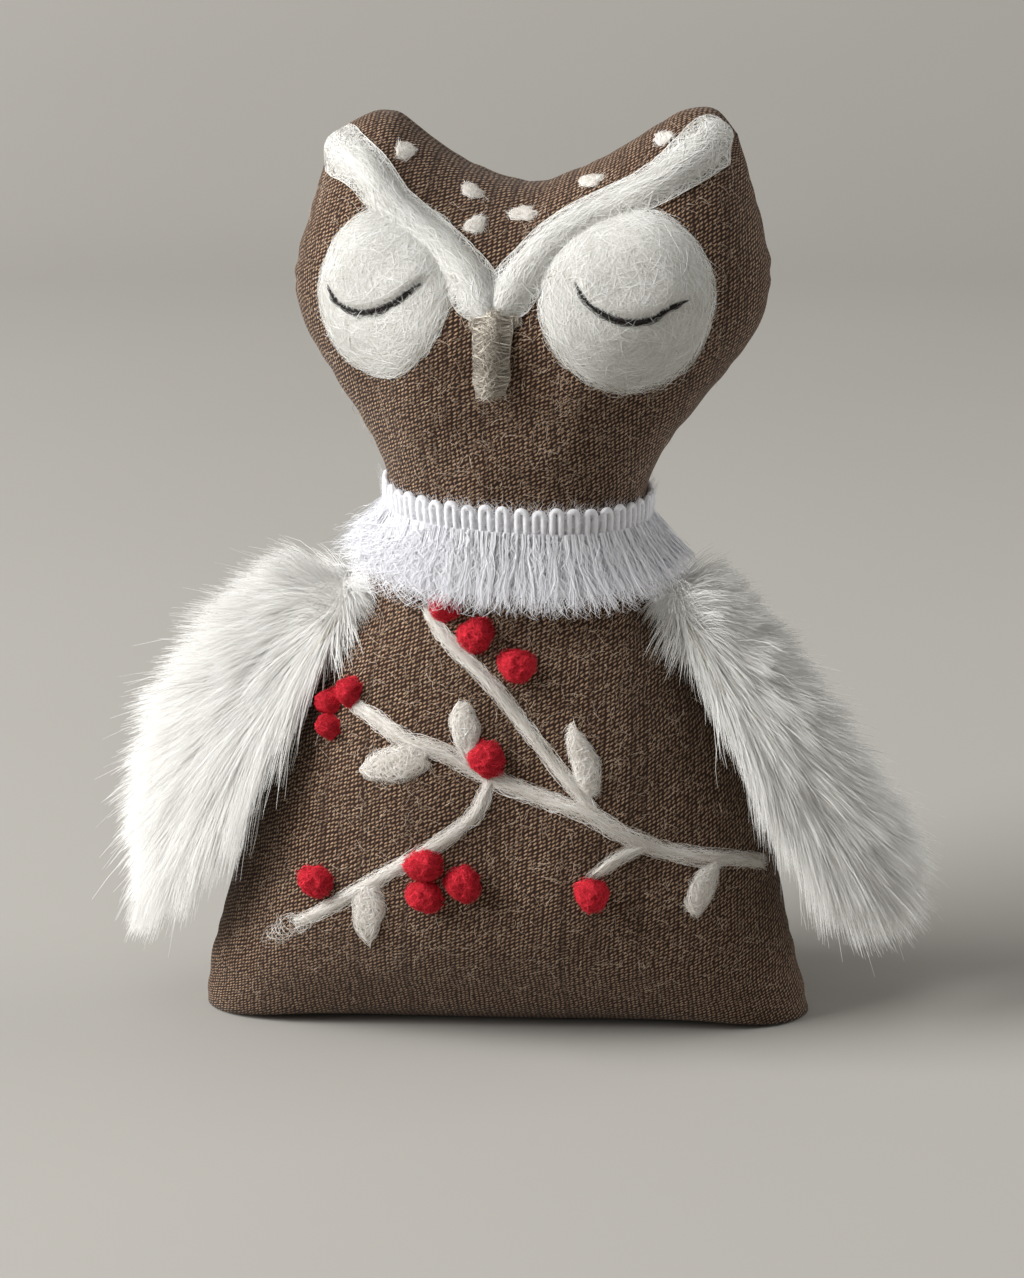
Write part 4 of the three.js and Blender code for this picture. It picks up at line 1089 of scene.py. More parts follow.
# The lash line's points are shares of the half width and half height, from the disc's middle.
eyes = {
    "left": SimpleNamespace(a=-0.53, b=0.845, wide=38.0, tall=42.5, slant=0.1, lash_wide=2.1, lash=np.array(
        [[-0.72, -0.02], [-0.55, -0.16], [-0.25, -0.24], [0.05, -0.2], [0.3, -0.08], [0.52, 0.08]])),
    "right": SimpleNamespace(a=0.482, b=0.85, wide=42.5, tall=46.0, slant=0.0, lash_wide=1.7, lash=np.array(
        [[-0.54, 0.1], [-0.43, -0.06], [-0.25, -0.18], [0, -0.25], [0.28, -0.22], [0.5, -0.1],
         [0.64, -0.04]])),
}


def eye_height(eye):
    """The height of an eye disc: a low dome, a lid that swells above the lash line and ends there
    in a crease."""
    def height_at(x, y):
        radius = np.minimum(np.hypot(x, y), 1)
        dome = eye_thick * (1 - radius ** 3) ** 0.6
        held = np.clip(x, eye.lash[0, 0] - 0.1, eye.lash[-1, 0] + 0.1)
        above = y - through(eye.lash, 1, held)
        lid = smooth(above / 0.09) * (1 - smooth((radius - 0.5) / 0.45))
        crease = np.exp(-(above / 0.05) ** 2) * smooth((0.75 - np.abs(x)) / 0.2)
        return dome + lid_swell * lid * (1 - 0.35 * np.clip(above, 0, 1)) - crease_depth * crease
    return height_at


def on_disc(eye):
    """How far the lash is raised along its line: it lies on the disc."""
    return lambda t, q: lash_rise + eye_height(eye)(*on_path(eye.lash, t))


lash_shape = np.array([[0, 0.35], [0.1, 0.85], [0.22, 0.72], [0.36, 1.1], [0.48, 0.9], [0.62, 1.08],
                       [0.75, 0.72], [0.88, 0.8], [1, 0.3]])
for seed, (side, eye) in enumerate(eyes.items(), 21):
    place = place_at(eye.a, eye.b)
    parts = felt_patch(place, eye_height(eye), white_wool, seed, wide=eye.wide, tall=eye.tall, count=5000,
                       steps=71, fibre_long=(5.0, 14.0), overhang=0.04, stray_reach=0.17, swirl=1.3,
                       lump=0.014, base=0.97, slant=eye.slant, fibre_width=0.09)
    wool_piece(f"eye_disc_{side}", parts)
    rise = eye.lash[:, 1] * eye.tall / 2
    right = eye.lash[:, 0] * eye.wide / 2 + eye.slant * rise
    path = np.stack(settle(place, right, rise)[2:], axis=1)
    parts = felt_strip(path, lash_shape, black_wool, seed + 10, wide=eye.lash_wide, thick=0.6, count=420,
                       stray=0.6, fibre_long=(2.5, 7.0), tangle=0.42, fray=1.7, loft=0.4, lift=on_disc(eye),
                       fibre_width=0.09, core=0.6, end_fray=(2.0, 2.0))
    pale_strays = felt_strip(path, lash_shape, (black_wool[0], white_wool[1]), seed + 12,
                             wide=1.6 * eye.lash_wide, thick=0.7, count=32, stray=0.8,
                             fibre_long=(2.0, 5.0), tangle=1.2, fray=1.8, loft=0.5, lift=on_disc(eye),
                             steps=12, fibre_width=0.07, core=0.2)[1:]
    wool_piece(f"eyelid_{side}", parts + pale_strays)

# %% Beak
beak_shape = np.array([[0, 0.95], [0.15, 1.05], [0.35, 0.98], [0.6, 0.92], [0.82, 0.94], [1, 0.75]])
beak_path = [(-0.045, 0.853), (-0.046, 0.82), (-0.045, 0.785), (-0.043, 0.755)]
beak_root = (-0.045, 0.853)
beak_gap, beak_lift, beak_tilt = 0.2, 2.4, 1.2


def off_face(t, q):
    """The free tip hangs off the cloth, more on its left than on its right."""
    held = np.clip(t, 0, 1)
    return beak_gap + beak_lift * held ** 2 - beak_tilt * held * np.clip(q, -1, 1)


parts = felt_strip(beak_path, beak_shape, grey_wool, 41, wide=7.0, thick=2.4, count=2200, stray=0.65,
                   fibre_long=(2.5, 7.5), tangle=0.95, fray=1.38, loft=1.2, lift=off_face,
                   fibre_width=0.14, end_fray=(3.0, 3.2))
parts += felt_patch(place_at(*beak_root), domed(0.8), grey_wool, 42, wide=14.0, tall=6.0, count=420,
                    steps=21, fibre_long=(3.0, 8.0), overhang=0.3, stray_reach=0.5, swirl=2.0, lump=0.1,
                    base=0.4, loft=1.0)
wool_piece("beak", parts)

# %% Forehead spots
# Place across and up, width and height.
spots = [(-0.56, 0.982, 6, 5), (-0.24, 0.984, 5.4, 5), (-0.19, 0.957, 5.2, 5.2), (0.01, 0.976, 6.4, 5.6),
         (0.32, 0.986, 8.5, 3.6), (0.66, 0.986, 6.5, 3.4)]
for i, (a, b, wide, tall) in enumerate(spots, 1):
    parts = felt_patch(place_at(a, b), domed(0.25), sprig_wool, 50 + i, wide=0.8 * wide, tall=0.8 * tall,
                       count=360, steps=17, fibre_long=(2.0, 6.5), overhang=0.45, stray_reach=1.1,
                       swirl=2.0, lump=0.12, base=0.3, loft=0.5)
    wool_piece(f"forehead_spot_{i}", parts)

# %% [markdown]
# ## The berry sprig
# Stems are thin rovings needled flat, so brown shows between their fibres at the frayed edges. The
# leaves are small matted pads, and the berries are balls of red wool needled down to domes.

# %% Stems
stem_shape = np.array([[0, 0.4], [0.06, 0.9], [0.15, 1], [0.85, 1], [0.94, 0.85], [1, 0.4]])
stem_end = (-0.715, 0.118)
fibres_per_mm = 19
# Width of each stem, and its path as places across and up the front panel.
stems = {
    "stem_main": (3.5, [(-0.68, 0.386), (-0.57, 0.376), (-0.42, 0.36), (-0.25, 0.348), (-0.13, 0.333),
                        (0.01, 0.315), (0.19, 0.297), (0.35, 0.282), (0.47, 0.258), (0.61, 0.234),
                        (0.75, 0.218), (0.89, 0.205), (0.95, 0.193)]),
    "stem_upper": (2.8, [(-0.48, 0.491), (-0.27, 0.459), (-0.05, 0.423), (0.14, 0.37), (0.28, 0.321),
                         (0.36, 0.292)]),
    "stem_lower": (3.0, [(-0.03, 0.317), (-0.07, 0.286), (-0.14, 0.263), (-0.25, 0.238), (-0.37, 0.211),
                         (-0.47, 0.185), (-0.57, 0.157), (-0.66, 0.134)]),
    "stem_side": (2.9, [(0.57, 0.24), (0.46, 0.229), (0.38, 0.212)]),
}
for seed, (name, (wide, path)) in enumerate(stems.items(), 61):
    parts = felt_strip(path, stem_shape, sprig_wool, seed, wide=wide, thick=0.6,
                       count=int(fibres_per_mm * path_length(path)), stray=0.6, fibre_long=(5.0, 13.0),
                       tangle=0.45, fray=1.6, loft=0.5, fibre_width=0.09, core=0.4,
                       end_fray=(3.5, 5.0), splay=0.8)
    if name == "stem_lower":
        parts += felt_patch(place_at(*stem_end), domed(0.2), sprig_wool, 65, wide=17.0, tall=5.5,
                            count=62, steps=15, fibre_long=(4.0, 11.0), overhang=0.3, stray_reach=0.7,
                            swirl=2.5, lump=0.1, base=0.04, turn=0.45, fibre_width=0.08, loft=1.2)
    wool_piece(name, parts)

# %% Leaves
# Root across and up, length, width and the angle at which the leaf points, in degrees.
leaves = [(-0.28, 0.344, 21, 8.5, 197), (-0.11, 0.338, 15.5, 7.5, 101), (0.375, 0.298, 19.5, 6.5, 102),
          (-0.462, 0.192, 17, 9, 269), (0.8, 0.214, 17, 6.5, 242)]
for i, (a, b, length, wide, angle) in enumerate(leaves, 1):
    turn = np.radians(angle - 90)
    middle = settle(place_at(a, b), -length / 2 * np.sin(turn), length / 2 * np.cos(turn))[2:]
    parts = felt_patch(place_at(*middle), domed(1.1), sprig_wool, 70 + i, wide=0.94 * wide, tall=length,
                       count=800, steps=27, fibre_long=(3.0, 8.0), overhang=0.2, stray_reach=0.5,
                       swirl=1.6, lump=0.09, base=0.72, turn=turn, point=0.26, loft=0.8)
    wool_piece(f"leaf_{i}", parts)

# %% Berries
berry_thick, knot_share = 3.6, 0.12
# Place across and up, and width.
berries = [(-0.4, 0.502, 8.5), (-0.165, 0.473, 9.5), (0.085, 0.441, 9.5), (-0.745, 0.4, 7.5),
           (-0.82, 0.383, 7), (-0.775, 0.36, 6.5), (-0.05, 0.34, 10.5), (-0.26, 0.219, 10),
           (-0.114, 0.195, 10), (-0.245, 0.178, 9.5), (-0.652, 0.186, 9.5), (0.347, 0.182, 9.5)]


def knotted(seed):
    """The height of a ball of wool needled down here and there: a dome with low knots."""
    def height_at(x, y):
        dome = np.sqrt(np.maximum(0, 1 - np.hypot(x, y) ** 2.2))
        knots = (np.sin(4.4 * x + 2.1 * y + seed) * np.sin(4.1 * y - 1.9 * x + 2 * seed)
                 + 0.7 * np.sin(9.3 * x - 2.3 * y + 3 * seed) * np.sin(8.7 * y + 2.9 * x + seed))
        return berry_thick * dome * (1 + knot_share * knots)
    return height_at


for i, (a, b, wide) in enumerate(berries, 1):
    parts = felt_patch(place_at(a, b), knotted(i), red_wool, 80 + i, wide=0.9 * wide, tall=0.9 * wide,
                       count=950, steps=31, fibre_long=(2.5, 7.0), overhang=0.2, stray_reach=0.6,
                       swirl=1.8, lump=0.07, base=0.88, loft=1.4)
    wool_piece(f"berry_{i}", parts)

# %% [markdown]
# ## The neck fringe
# A bought cotton brush fringe: a crocheted header of standing loops over a chain, and soft uncut
# yarns that hang from it and fluff out at their ends. The loops are yarn carried along a path round
# the neck, and the skirt is thousands of fibres drawn together in small locks.

# %% Cotton materials
# Soft cotton has no gloss, and brushed out it is a cooler white than the wool.
cotton_yarn = felted_wool("twisted_cotton_yarn", "#d8d8dc", "#efeff2", 0.2)
cotton_fibres = loose_fibres("brushed_cotton_fibres", "#dfdfe4", "#f3f3f6", 0.9, 0.8)

# %% Round the neck
header_share, header_tilt, header_tall = 0.594, 0.008, 6.6
loop_pitch, loop_wide, yarn_thick, chain_thick, neck_swell = 4.5, 2.2, 1.75, 1.2, 1.5

neck_angle = np.linspace(0, 2 * np.pi, 2001)
neck_a, neck_side = around(neck_angle)
neck_step = np.linalg.norm(np.diff(cover(neck_a, header_share, neck_side, neck_swell), axis=0), axis=-1)
neck_gone = np.concatenate([[0], np.cumsum(neck_step)])
neck_length = neck_gone[-1]
loop_count = int(round(neck_length / loop_pitch))
loop_step = neck_length / loop_count


def angle_at(gone):
    """The angle round the neck after so many millimetres along it."""
    return np.interp(np.mod(gone, neck_length), neck_gone, neck_angle)


def round_neck(gone, up, swell):
    """A point so far round the neck, so many millimetres over the header's foot and off the cloth."""
    a, side = around(angle_at(gone))
    level = header_share - header_tilt * a + (up - header_tall / 2) / height
    return cover(a, level, side, swell)


def off_neck(gone, up):
    """The outward direction there, from the slopes of the cloth."""
    here = round_neck(gone, up, 1.0)
    return unit(np.cross(round_neck(gone + 0.5, up, 1.0) - here, round_neck(gone, up + 0.5, 1.0) - here))


print(f"neck girth {neck_length:.0f} mm, {loop_count} loops")

# %% Yarn
def yarn(lines, thick, facing, material, sides=7):
    """Round yarn along each line: its section turns a point round the line in the plane square to
    the way it runs. It faces any way that the line never takes."""
    way = unit(np.gradient(lines, axis=1))
    across = unit(np.cross(way, facing))
    over = np.cross(across, way)
    angle = np.linspace(0, 2 * np.pi, sides, endpoint=False)[:, None]
    section = np.cos(angle) * across[:, :, None] + np.sin(angle) * over[:, :, None]
    rings = lines[:, :, None] + thick / 2 * section
    count, steps = lines.shape[:2]
    faces, shares = grid_faces(steps, sides, wrap=True)
    every = faces[None] + (np.arange(count) * steps * sides)[:, None, None]
    return SimpleNamespace(points=rings.reshape(-1, 3), faces=every.reshape(-1, 4),
                           uv=np.tile(shares * [BASE_WIDE, 1], (count, 1, 1)), material=material)


# %% Fringe header
rng = np.random.default_rng(101)
each = (loop_count, 1)
loop_radius = loop_wide / 2
half_loop = header_tall - loop_radius + np.pi / 4 * loop_wide
from_top = np.linspace(-half_loop, half_loop, 25)[None]
turn = np.clip(from_top / loop_radius, -np.pi / 2, np.pi / 2)
down_leg = np.maximum(0, np.abs(from_top) - np.pi / 4 * loop_wide)
tall = rng.uniform(0.93, 1.06, each)
gone = loop_step * np.arange(loop_count)[:, None] + loop_radius * np.sin(turn) + rng.normal(0, 0.2, each)
up = tall * (header_tall - loop_radius + loop_radius * np.cos(turn) - down_leg)
swell = 1.25 + 0.35 * np.sin(np.pi * up / header_tall) + rng.normal(0, 0.1, each)
parts = [yarn(round_neck(gone, up, swell), yarn_thick, off_neck(gone, up), cotton_yarn, sides=8)]

chain = np.linspace(0, neck_length, 12 * loop_count)[None]
for phase in (0.0, np.pi):
    wave = 2 * np.pi * chain / loop_step + phase
    line = round_neck(chain, 0.5 * np.sin(wave), 1.2 + 0.5 * np.cos(wave))
    parts.append(yarn(line, chain_thick, off_neck(chain, 0 * chain + 1.0), cotton_yarn))

gone, up = np.meshgrid(np.linspace(0, neck_length, 8 * loop_count, endpoint=False),
                       np.linspace(-0.4, header_tall - 1.6, 6))
parts.append(slab(round_neck(gone, up, swell=0.9), round_neck(gone, up, swell=0.4), cotton_yarn, wrap=True))

fuzz_count = 7500
each = (fuzz_count, 1)
s = np.linspace(0, 1, 5)
gone = rng.uniform(0, neck_length, each)
up = rng.uniform(-0.25, 0.98, each) * header_tall + s * rng.uniform(-1.5, 4.2, each)
gone = gone + rng.normal(0, 1.1, each) * s + 0.4 * np.sin(7 * s + rng.uniform(0, 6, each))
lines = round_neck(gone, up, 1.7 + rng.uniform(-0.2, 1.4, each) * s)
facing = off_neck(gone, up) + rng.normal(0, 0.3, (fuzz_count, 1, 3))
parts.append(ribbons(lines, 0.1 * (1 - 0.6 * s), facing, rng.random(fuzz_count), cotton_fibres))
make_piece("fringe_header_loops", parts, "owl", ["fringe_header"])

# %% Fringe skirt
strand_length, side_rise, front_flare, side_flare = 18.5, 0.33, 2.6, 7.5
hang_below, brushed_up, strand_tilt = 0.8, 1.6, 0.4
yarn_count, per_yarn, loose_count = 5 * loop_count, 16, 9500
lock_pitch = 4.9
rng = np.random.default_rng(103)
s = np.linspace(0, 1, 7)


def hung(gone, share, depth):
    """A point of the skirt, and how far it is over the header's foot: a share of the strand's
    length below the header, and so far out through its thickness. Over the shoulders the strands
    are held up and out."""
    edge = np.abs(np.cos(angle_at(gone)))
    up = hang_below - strand_length * share * (1 - side_rise * edge ** 4)
    flare = (front_flare + (side_flare - front_flare) * edge ** 2) * share
    return round_neck(gone, up, 0.8 + flare + depth), up


def untidy(gone):
    """How loosely the strands lie: 1 round the neck, and more at the left shoulder, where they are
    brushed up against the wing."""
    return 1 + brushed_up * smooth((np.cos(angle_at(gone)) - 0.25) / 0.5)


def strands(gone, share, depth, *, thick, darkest):
    """Cotton fibres down the skirt, each turned a little out of the way that it faces."""
    count = len(gone)
    lines, up = hung(gone, share, depth)
    facing = off_neck(gone, up) + strand_tilt * rng.normal(0, 1, (count, 1, 3))
    width = thick * rng.uniform(0.7, 1.3, (count, 1)) * (1 - 0.65 * s ** 2)
    return ribbons(lines, width, facing, darkest + (1 - darkest) * rng.random(count), cotton_fibres)


gone, share = np.meshgrid(np.linspace(0, neck_length, 640, endpoint=False), np.linspace(0, 0.86, 14))
ripple = 0.3 * np.sin(gone * 5.2 + 1.4 * np.sin(gone * 0.9) + 2.2 * share)
skirt = [slab(hung(gone, share, 0.5 + (0.35 + ripple) * (1 - share))[0], hung(gone, share, 0.1)[0],
              cotton_yarn, wrap=True)]

yarn_gone = np.linspace(0, neck_length, yarn_count, endpoint=False) + rng.normal(0, 0.25, yarn_count)
which = np.repeat(np.arange(yarn_count), per_yarn)
each = (len(which), 1)
clump = 2 * np.pi * (yarn_gone / lock_pitch + 0.5 * np.sin(0.37 * yarn_gone))
phase, sway = rng.uniform(0, 2 * np.pi, yarn_count), rng.normal(0, 1.2, yarn_count)
turns = rng.uniform(5, 11, yarn_count)
wild = untidy(yarn_gone)[which][:, None]
gone = yarn_gone[which][:, None] + wild * rng.normal(0, 0.16, each) * (1 + 4.5 * s ** 4)
gone = gone + (sway - 0.75 * np.sin(clump))[which][:, None] * s ** 1.4
gone = gone + 0.38 * np.sin(phase[which][:, None] + turns[which][:, None] * s) * np.minimum(1, 3 * s)
share = s * rng.uniform(0.84, 1.06, each) * (1 + 0.05 * np.cos(clump))[which][:, None]
share = share * (1 - (wild - 1) * rng.uniform(0, 0.2, each))
depth = 1.0 + rng.uniform(0.1, 0.6, each) + rng.uniform(0, 1.2, yarn_count)[which][:, None] * s
skirt.append(strands(gone, share, depth, thick=0.17, darkest=0.3))

each = (loose_count, 1)
gone = rng.uniform(0, neck_length, each)
wild = untidy(gone)
gone = gone + wild * rng.normal(0, 2.2, each) * s
gone = gone + wild * rng.uniform(0.2, 0.9, each) * np.sin(9 * s + rng.uniform(0, 6.3, each))
share = np.minimum(rng.uniform(0, 0.75, each) + s * rng.uniform(0.25, 0.5, each), 1.14)
depth = rng.uniform(0.5, 2.0, each) + wild ** 1.5 * rng.normal(0, 0.6, each) * s
skirt.append(strands(gone, share, np.maximum(0.4, depth), thick=0.12, darkest=0.0))
make_piece("fringe_skirt_strands", skirt, "owl", ["fringe_skirt"])

# %% [markdown]
# ## Wings
# Each wing is a tongue of long-pile fur cloth, sewn on by its top edge, so it hangs clear of the
# body. The knitted backing is a sheet, and the pile is some tens of thousands of ribbons that stand
# up at the shoulder, lie over along the wing and run down past its end, gathered in locks.

# %% Fur materials
# Brushed acrylic is a clean white with a soft bloom, its knitted backing a matt cream, and the two
# sewing threads are matt cotton.
knit_backing = felted_wool("knitted_polyester_backing", "#c4c0b4", "#dedbd1", 0.05)
fur_pile = loose_fibres("long_acrylic_pile", "#edece8", "#f7f6f3", 0.9, 0.8, sheen=0.25)
sewing_thread = felted_wool("white_cotton_thread", "#cfccc3", "#f0eee8", 0.05)
brown_thread = felted_wool("brown_cotton_thread", "#4a3a2d", "#6d5848", 0.05)

# %% The wing's own frame
wing_level, wing_foot, wing_gap, wing_forward = 0.487, 0.1, 3.0, 4.0
left_stand_off, right_stand_off = 10, 12
hair_points = 6
hair_taper = 1 - 0.8 * np.linspace(0, 1, hair_points) ** 1.5
pelt_length, pelt_breadth, pelt_thick, pelt_start = 84.0, 36.0, 1.6, 1.0
pelt_table = np.array([[0, 0.6], [0.15, 0.84], [0.35, 1], [0.55, 0.98], [0.75, 0.84], [0.9, 0.6], [1, 0.3]])

# Way down the wing, the pile's angle from the cloth's own way down in degrees, and its length.
pile_tables = {
    "left": np.array([[0, 112, 21], [0.2, 104, 28], [0.5, 80, 32], [0.7, 54, 30], [0.88, 22, 27],
                      [1, -4, 26]]),
    "right": np.array([[0, 118, 15], [0.2, 112, 18], [0.5, 88, 22], [0.7, 74, 25], [0.88, 62, 27],
                       [1, 48, 25]]),
}
# Way down the wing and the same angle at the front and back edges, where the pile falls over the
# edge of the cloth towards the body.
edge_tables = {
    "left": np.array([[0, -8], [0.3, -16], [0.6, -14], [0.85, -6], [1, 0]]),
    "right": np.array([[0, -10], [0.3, -18], [0.6, -20], [0.85, -12], [1, 8]]),
}


def wing_frame(across, stand_off):
    """The hinge of a wing, and its directions down along the cloth and out through the pile. It
    stands off the line from the shoulder to the foot by so many degrees."""
    edge, foot = cover(across, wing_level, 1), cover(across, wing_foot, 1)
    hinge = np.array([edge[0] + across * wing_gap, -wing_forward, edge[2]])
    tilt = np.arctan2(across * (foot[0] - edge[0]), edge[2] - foot[2]) + np.radians(stand_off)
    down = np.array([across * np.sin(tilt), 0, -np.cos(tilt)])
    out = np.array([across * np.cos(tilt), 0, np.sin(tilt)])
    return SimpleNamespace(hinge=hinge, down=down, out=out, edge=edge, across=across)


wings = {"left": wing_frame(-1.0, left_stand_off), "right": wing_frame(1.0, right_stand_off)}
ahead = np.array([0, -1.0, 0])


def in_wing(wing, s, v, n):
    """A point s down the cloth, v towards the front and n out of the pile."""
    s, v, n = (np.asarray(value, float)[..., None] for value in np.broadcast_arrays(s, v, n))
    return wing.hinge + wing.down * s + ahead * v + wing.out * n


def on_pelt(way, v):
    """Millimetres down the cloth and towards the front, from shares of its length and half width."""
    return (pelt_start + way * (pelt_length - pelt_start),
            v * through(pelt_table, 1, way) * pelt_breadth / 2)


def set_off(wing, angle, fan):
    """Directions at an angle from the wing's way down to its way out, fanned towards the front."""
    return np.cos(angle)[:, None] * wing.down + np.sin(angle)[:, None] * wing.out + fan[:, None] * ahead


def falling(root, start, length, *, sag, power, give, pull=(0, 0, -1.0)):
    """Hairs that set off from their roots and bend to the pull of their weight: sag is its share
    at the tip, and give says how much of the first direction it takes away."""
    sink = sag * np.linspace(0, 1, hair_points)[None, :, None] ** power
    path = unit(unit(start)[:, None] * (1 - give * sink) + np.array(pull) * sink)
    run = np.cumsum(path * (length[:, None, None] / (hair_points - 1)), axis=1)
    return root[:, None] + run - run[:, :1]


# %% Knitted backing
def make_pelt(side, wing):
    """The knitted backing: a thin sheet in the outline of the wing, a little wavy along its edges.
    Gives back the piece and its area."""
    way, v = np.meshgrid(np.linspace(0, 1, 60), crowded(28), indexing="ij")
    wave = 0.35 * np.sin(way * 9 + wing.across) * np.abs(v) ** 3
    top = in_wing(wing, *on_pelt(way, v), wave)
    part = slab(top, in_wing(wing, *on_pelt(way, v), wave - pelt_thick), knit_backing)
    made = make_piece(f"wing_{side}_backing", [part], f"wing_{side}", [f"wing_{side}_pelt"])
    return made, cloth_area(top)


# %% Pile
lock_count, hairs_each = 700, 12500
flying_share, flying_reach = 0.08, 2.2
rng = np.random.default_rng(7)
lock_middle = rng.uniform([0, -1], [1, 1], (lock_count, 2))
lock_turn = rng.normal(0, 1, (lock_count, 3))


def hair_lines(side, wing, way, v, turn, loose):
    """Hairs with their roots so far down the wing and across it. Each starts at the angle of the
    tables, the middle one blending into that of the edges, and sinks under its weight."""
    over_edge = np.abs(v) ** 1.3
    middle, edge = through(pile_tables[side], 1, way), through(edge_tables[side], 1, way)
    angle = np.radians(middle * (1 - over_edge) + edge * over_edge + 4 * turn[:, 0] + 5 * loose[:, 0])
    length = through(pile_tables[side], 2, way) * (1 + 0.09 * loose[:, 1] + 0.06 * turn[:, 1])
    fan = 0.38 * v + 0.08 * turn[:, 2] + 0.08 * loose[:, 2]
    root = in_wing(wing, *on_pelt(way, v), -pelt_thick * smooth((np.abs(v) - 0.9) / 0.1))
    return falling(root, set_off(wing, angle, fan), length, sag=0.5, power=1.5, give=0.45)


def pile_lines(side, wing, rng):
    """The middle lines of the hairs, drawn a little to the middle of their lock, with the way
    that each faces: to the front and a little up, so that the pile takes the light as one soft
    surface."""
    way, v = rng.uniform(0, 1, hairs_each) ** 0.9, rng.uniform(-1, 1, hairs_each)
    gap = (way[:, None] - lock_middle[None, :, 0]) ** 2 * 6 + (v[:, None] - lock_middle[None, :, 1]) ** 2
    lock = gap.argmin(1)
    flying = np.where(rng.random((hairs_each, 1)) < flying_share, flying_reach, 1.0)
    loose = rng.normal(0, 1, (hairs_each, 3)) * flying
    own = hair_lines(side, wing, way, v, lock_turn[lock], loose)
    middle = hair_lines(side, wing, *lock_middle[lock].T, lock_turn[lock], 0 * loose)
    t = np.linspace(0, 1, hair_points)
    draw = (0.28 * t ** 1.3)[None, :, None]
    curl = 0.35 * np.sin(2.5 * t[None] * np.pi + rng.uniform(0, 6.3, (hairs_each, 1))) * t
    lines = own * (1 - draw) + middle * draw + curl[..., None] * rng.normal(0, 1, (hairs_each, 3))[:, None]
    facing = ahead * (0.5 + 1.5 * v)[:, None] + wing.out * (0.22 - 0.12 * np.abs(v))[:, None]
    return lines, facing + [0, 0, 0.35] + rng.normal(0, 0.16, (hairs_each, 3))


print(f"{lock_count} locks")

# %% Shoulder hairs
shoulder_breadth, shoulder_hairs = 18.0, 2100


def shoulder_lines(wing, seed):
    """Short hairs round the top of the wing, which fan out over the stitches. Those at the front
    also reach in over the shoulder, past the round of the body."""
    rng = np.random.default_rng(seed)
    count = shoulder_hairs
    s, v, n = rng.uniform(-1.5, 9, count), rng.uniform(-1, 1, count), rng.uniform(-1.6, 0.8, count)
    angle = rng.uniform(-np.radians(14 + 78 * smooth((v - 0.15) / 0.4)), np.radians(118))
    fan = np.where(v > 0, 0.3 + 0.5 * v, -0.4) + 0.35 * smooth(-angle)
    root = in_wing(wing, s, v * shoulder_breadth / 2 * 1.2, n)
    length = rng.uniform(9, 17, count)
    lines = falling(root, set_off(wing, angle, fan), length, sag=0.45, power=1.5, give=0.4)
    facing = ahead * np.sign(v)[:, None] + wing.out * 0.3 + [0, 0, 0.4]
    return lines, facing + rng.normal(0, 0.2, (count, 3))


# %% Fur cloth
pile_pieces = 3

for seed, (side, wing) in enumerate(wings.items(), 201):
    backing, backing_area = make_pelt(side, wing)
    for part in range(pile_pieces):
        rng = np.random.default_rng(10 * seed + part)
        lines, facing = pile_lines(side, wing, rng)
        if part == 0:
            top_lines, top_facing = shoulder_lines(wing, seed)
            lines, facing = np.concatenate([lines, top_lines]), np.concatenate([facing, top_facing])
        width = 0.2 * rng.uniform(0.6, 1.3, (len(lines), 1)) * hair_taper
        fur = ribbons(lines, width, facing[:, None] + 0 * lines, rng.random(len(lines)), fur_pile)
        make_piece(f"wing_{side}_fur_{part + 1}", [fur], f"wing_{side}",
                               [f"wing_{side}_pile"])

# %% [markdown]
# ## Sewing thread
# Each wing hangs from a few overcast stitches, and a zigzag of brown thread closes the opening
# through which the toy was filled, at the back of the bottom seam.

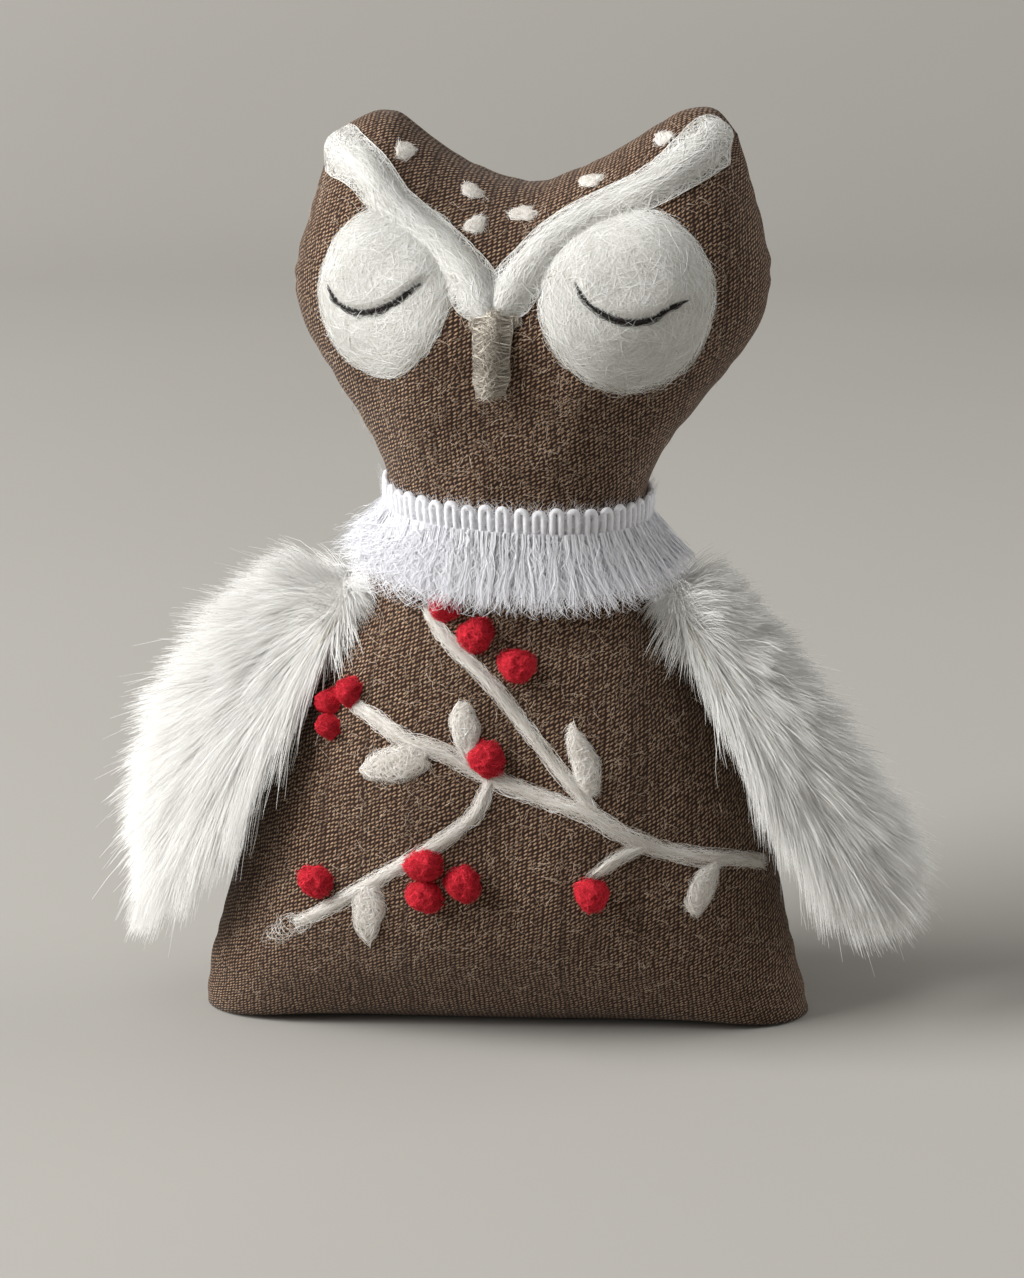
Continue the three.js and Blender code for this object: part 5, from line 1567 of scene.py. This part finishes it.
# %% Stitches
shoulder_turns, shoulder_coil, shoulder_rise, shoulder_thread = 4, 0.7, 1.5, 0.7
caught_count = 1500
closing_count, closing_reach, closing_rise, closing_thread = 9, 0.3, 2.6, 0.8


def caught_hairs(wing, middle, seed):
    """Pile caught under the stitches: it hides them, and fans out forwards and over the cloth."""
    rng = np.random.default_rng(seed)
    count = caught_count
    root = middle + np.stack([rng.uniform(-2.2, 1.6, count) * -wing.across,
                              -shoulder_breadth / 2 + shoulder_breadth * rng.random(count) ** 2 - 0.6,
                              rng.uniform(-1.0, 1.6, count)], -1)
    start = np.stack([wing.across * rng.normal(-0.25, 0.7, count), rng.uniform(-0.9, 0.1, count),
                      rng.normal(0.1, 0.5, count)], -1)
    length = rng.uniform(6, 13, count)
    lines = falling(root, start, length, sag=0.75, power=1.2, give=0.6, pull=(0, -0.25, -1.0))
    facing = np.array([0.1, -1.0, 0.5]) + rng.normal(0, 0.2, (count, 1, 3))
    return ribbons(lines, 0.13 * hair_taper, facing, rng.random(count), fur_pile)


for side, wing in wings.items():
    t = np.linspace(0, 1, 90)
    angle = 2 * np.pi * shoulder_turns * t
    middle = np.array([wing.edge[0] + wing.across * wing_gap / 2, -wing_forward,
                       wing.edge[2] + shoulder_rise])
    coil = np.stack([shoulder_coil * np.cos(angle), shoulder_breadth * (t - 0.5),
                     shoulder_coil * np.sin(angle)], -1) + middle
    part = yarn(coil[None], shoulder_thread, np.array([0.31, 0.95, 0.05]), sewing_thread, sides=8)
    caught = caught_hairs(wing, middle, 301 + int(wing.across))
    make_piece(f"wing_{side}_thread", [part, caught], "owl", [f"wing_{side}_stitches"])

t = np.linspace(0, 1, 2 * closing_count + 1)
zig = np.arange(len(t)) % 2
knots = cover(closing_reach * (2 * t - 1), zig * closing_rise / height, 1, 1.5 * closing_thread)
knots[:, 2] -= (1 - zig) * gusset_thickness
table = np.column_stack([t, knots])
line = np.stack([through(table, column, np.linspace(0, 1, 6 * len(t))) for column in (1, 2, 3)], -1)
part = yarn(line[None], closing_thread, np.array([0.1, 1.0, -0.3]), brown_thread, sides=8)
make_piece("closing_thread", [part], "owl", ["closing_stitches"])
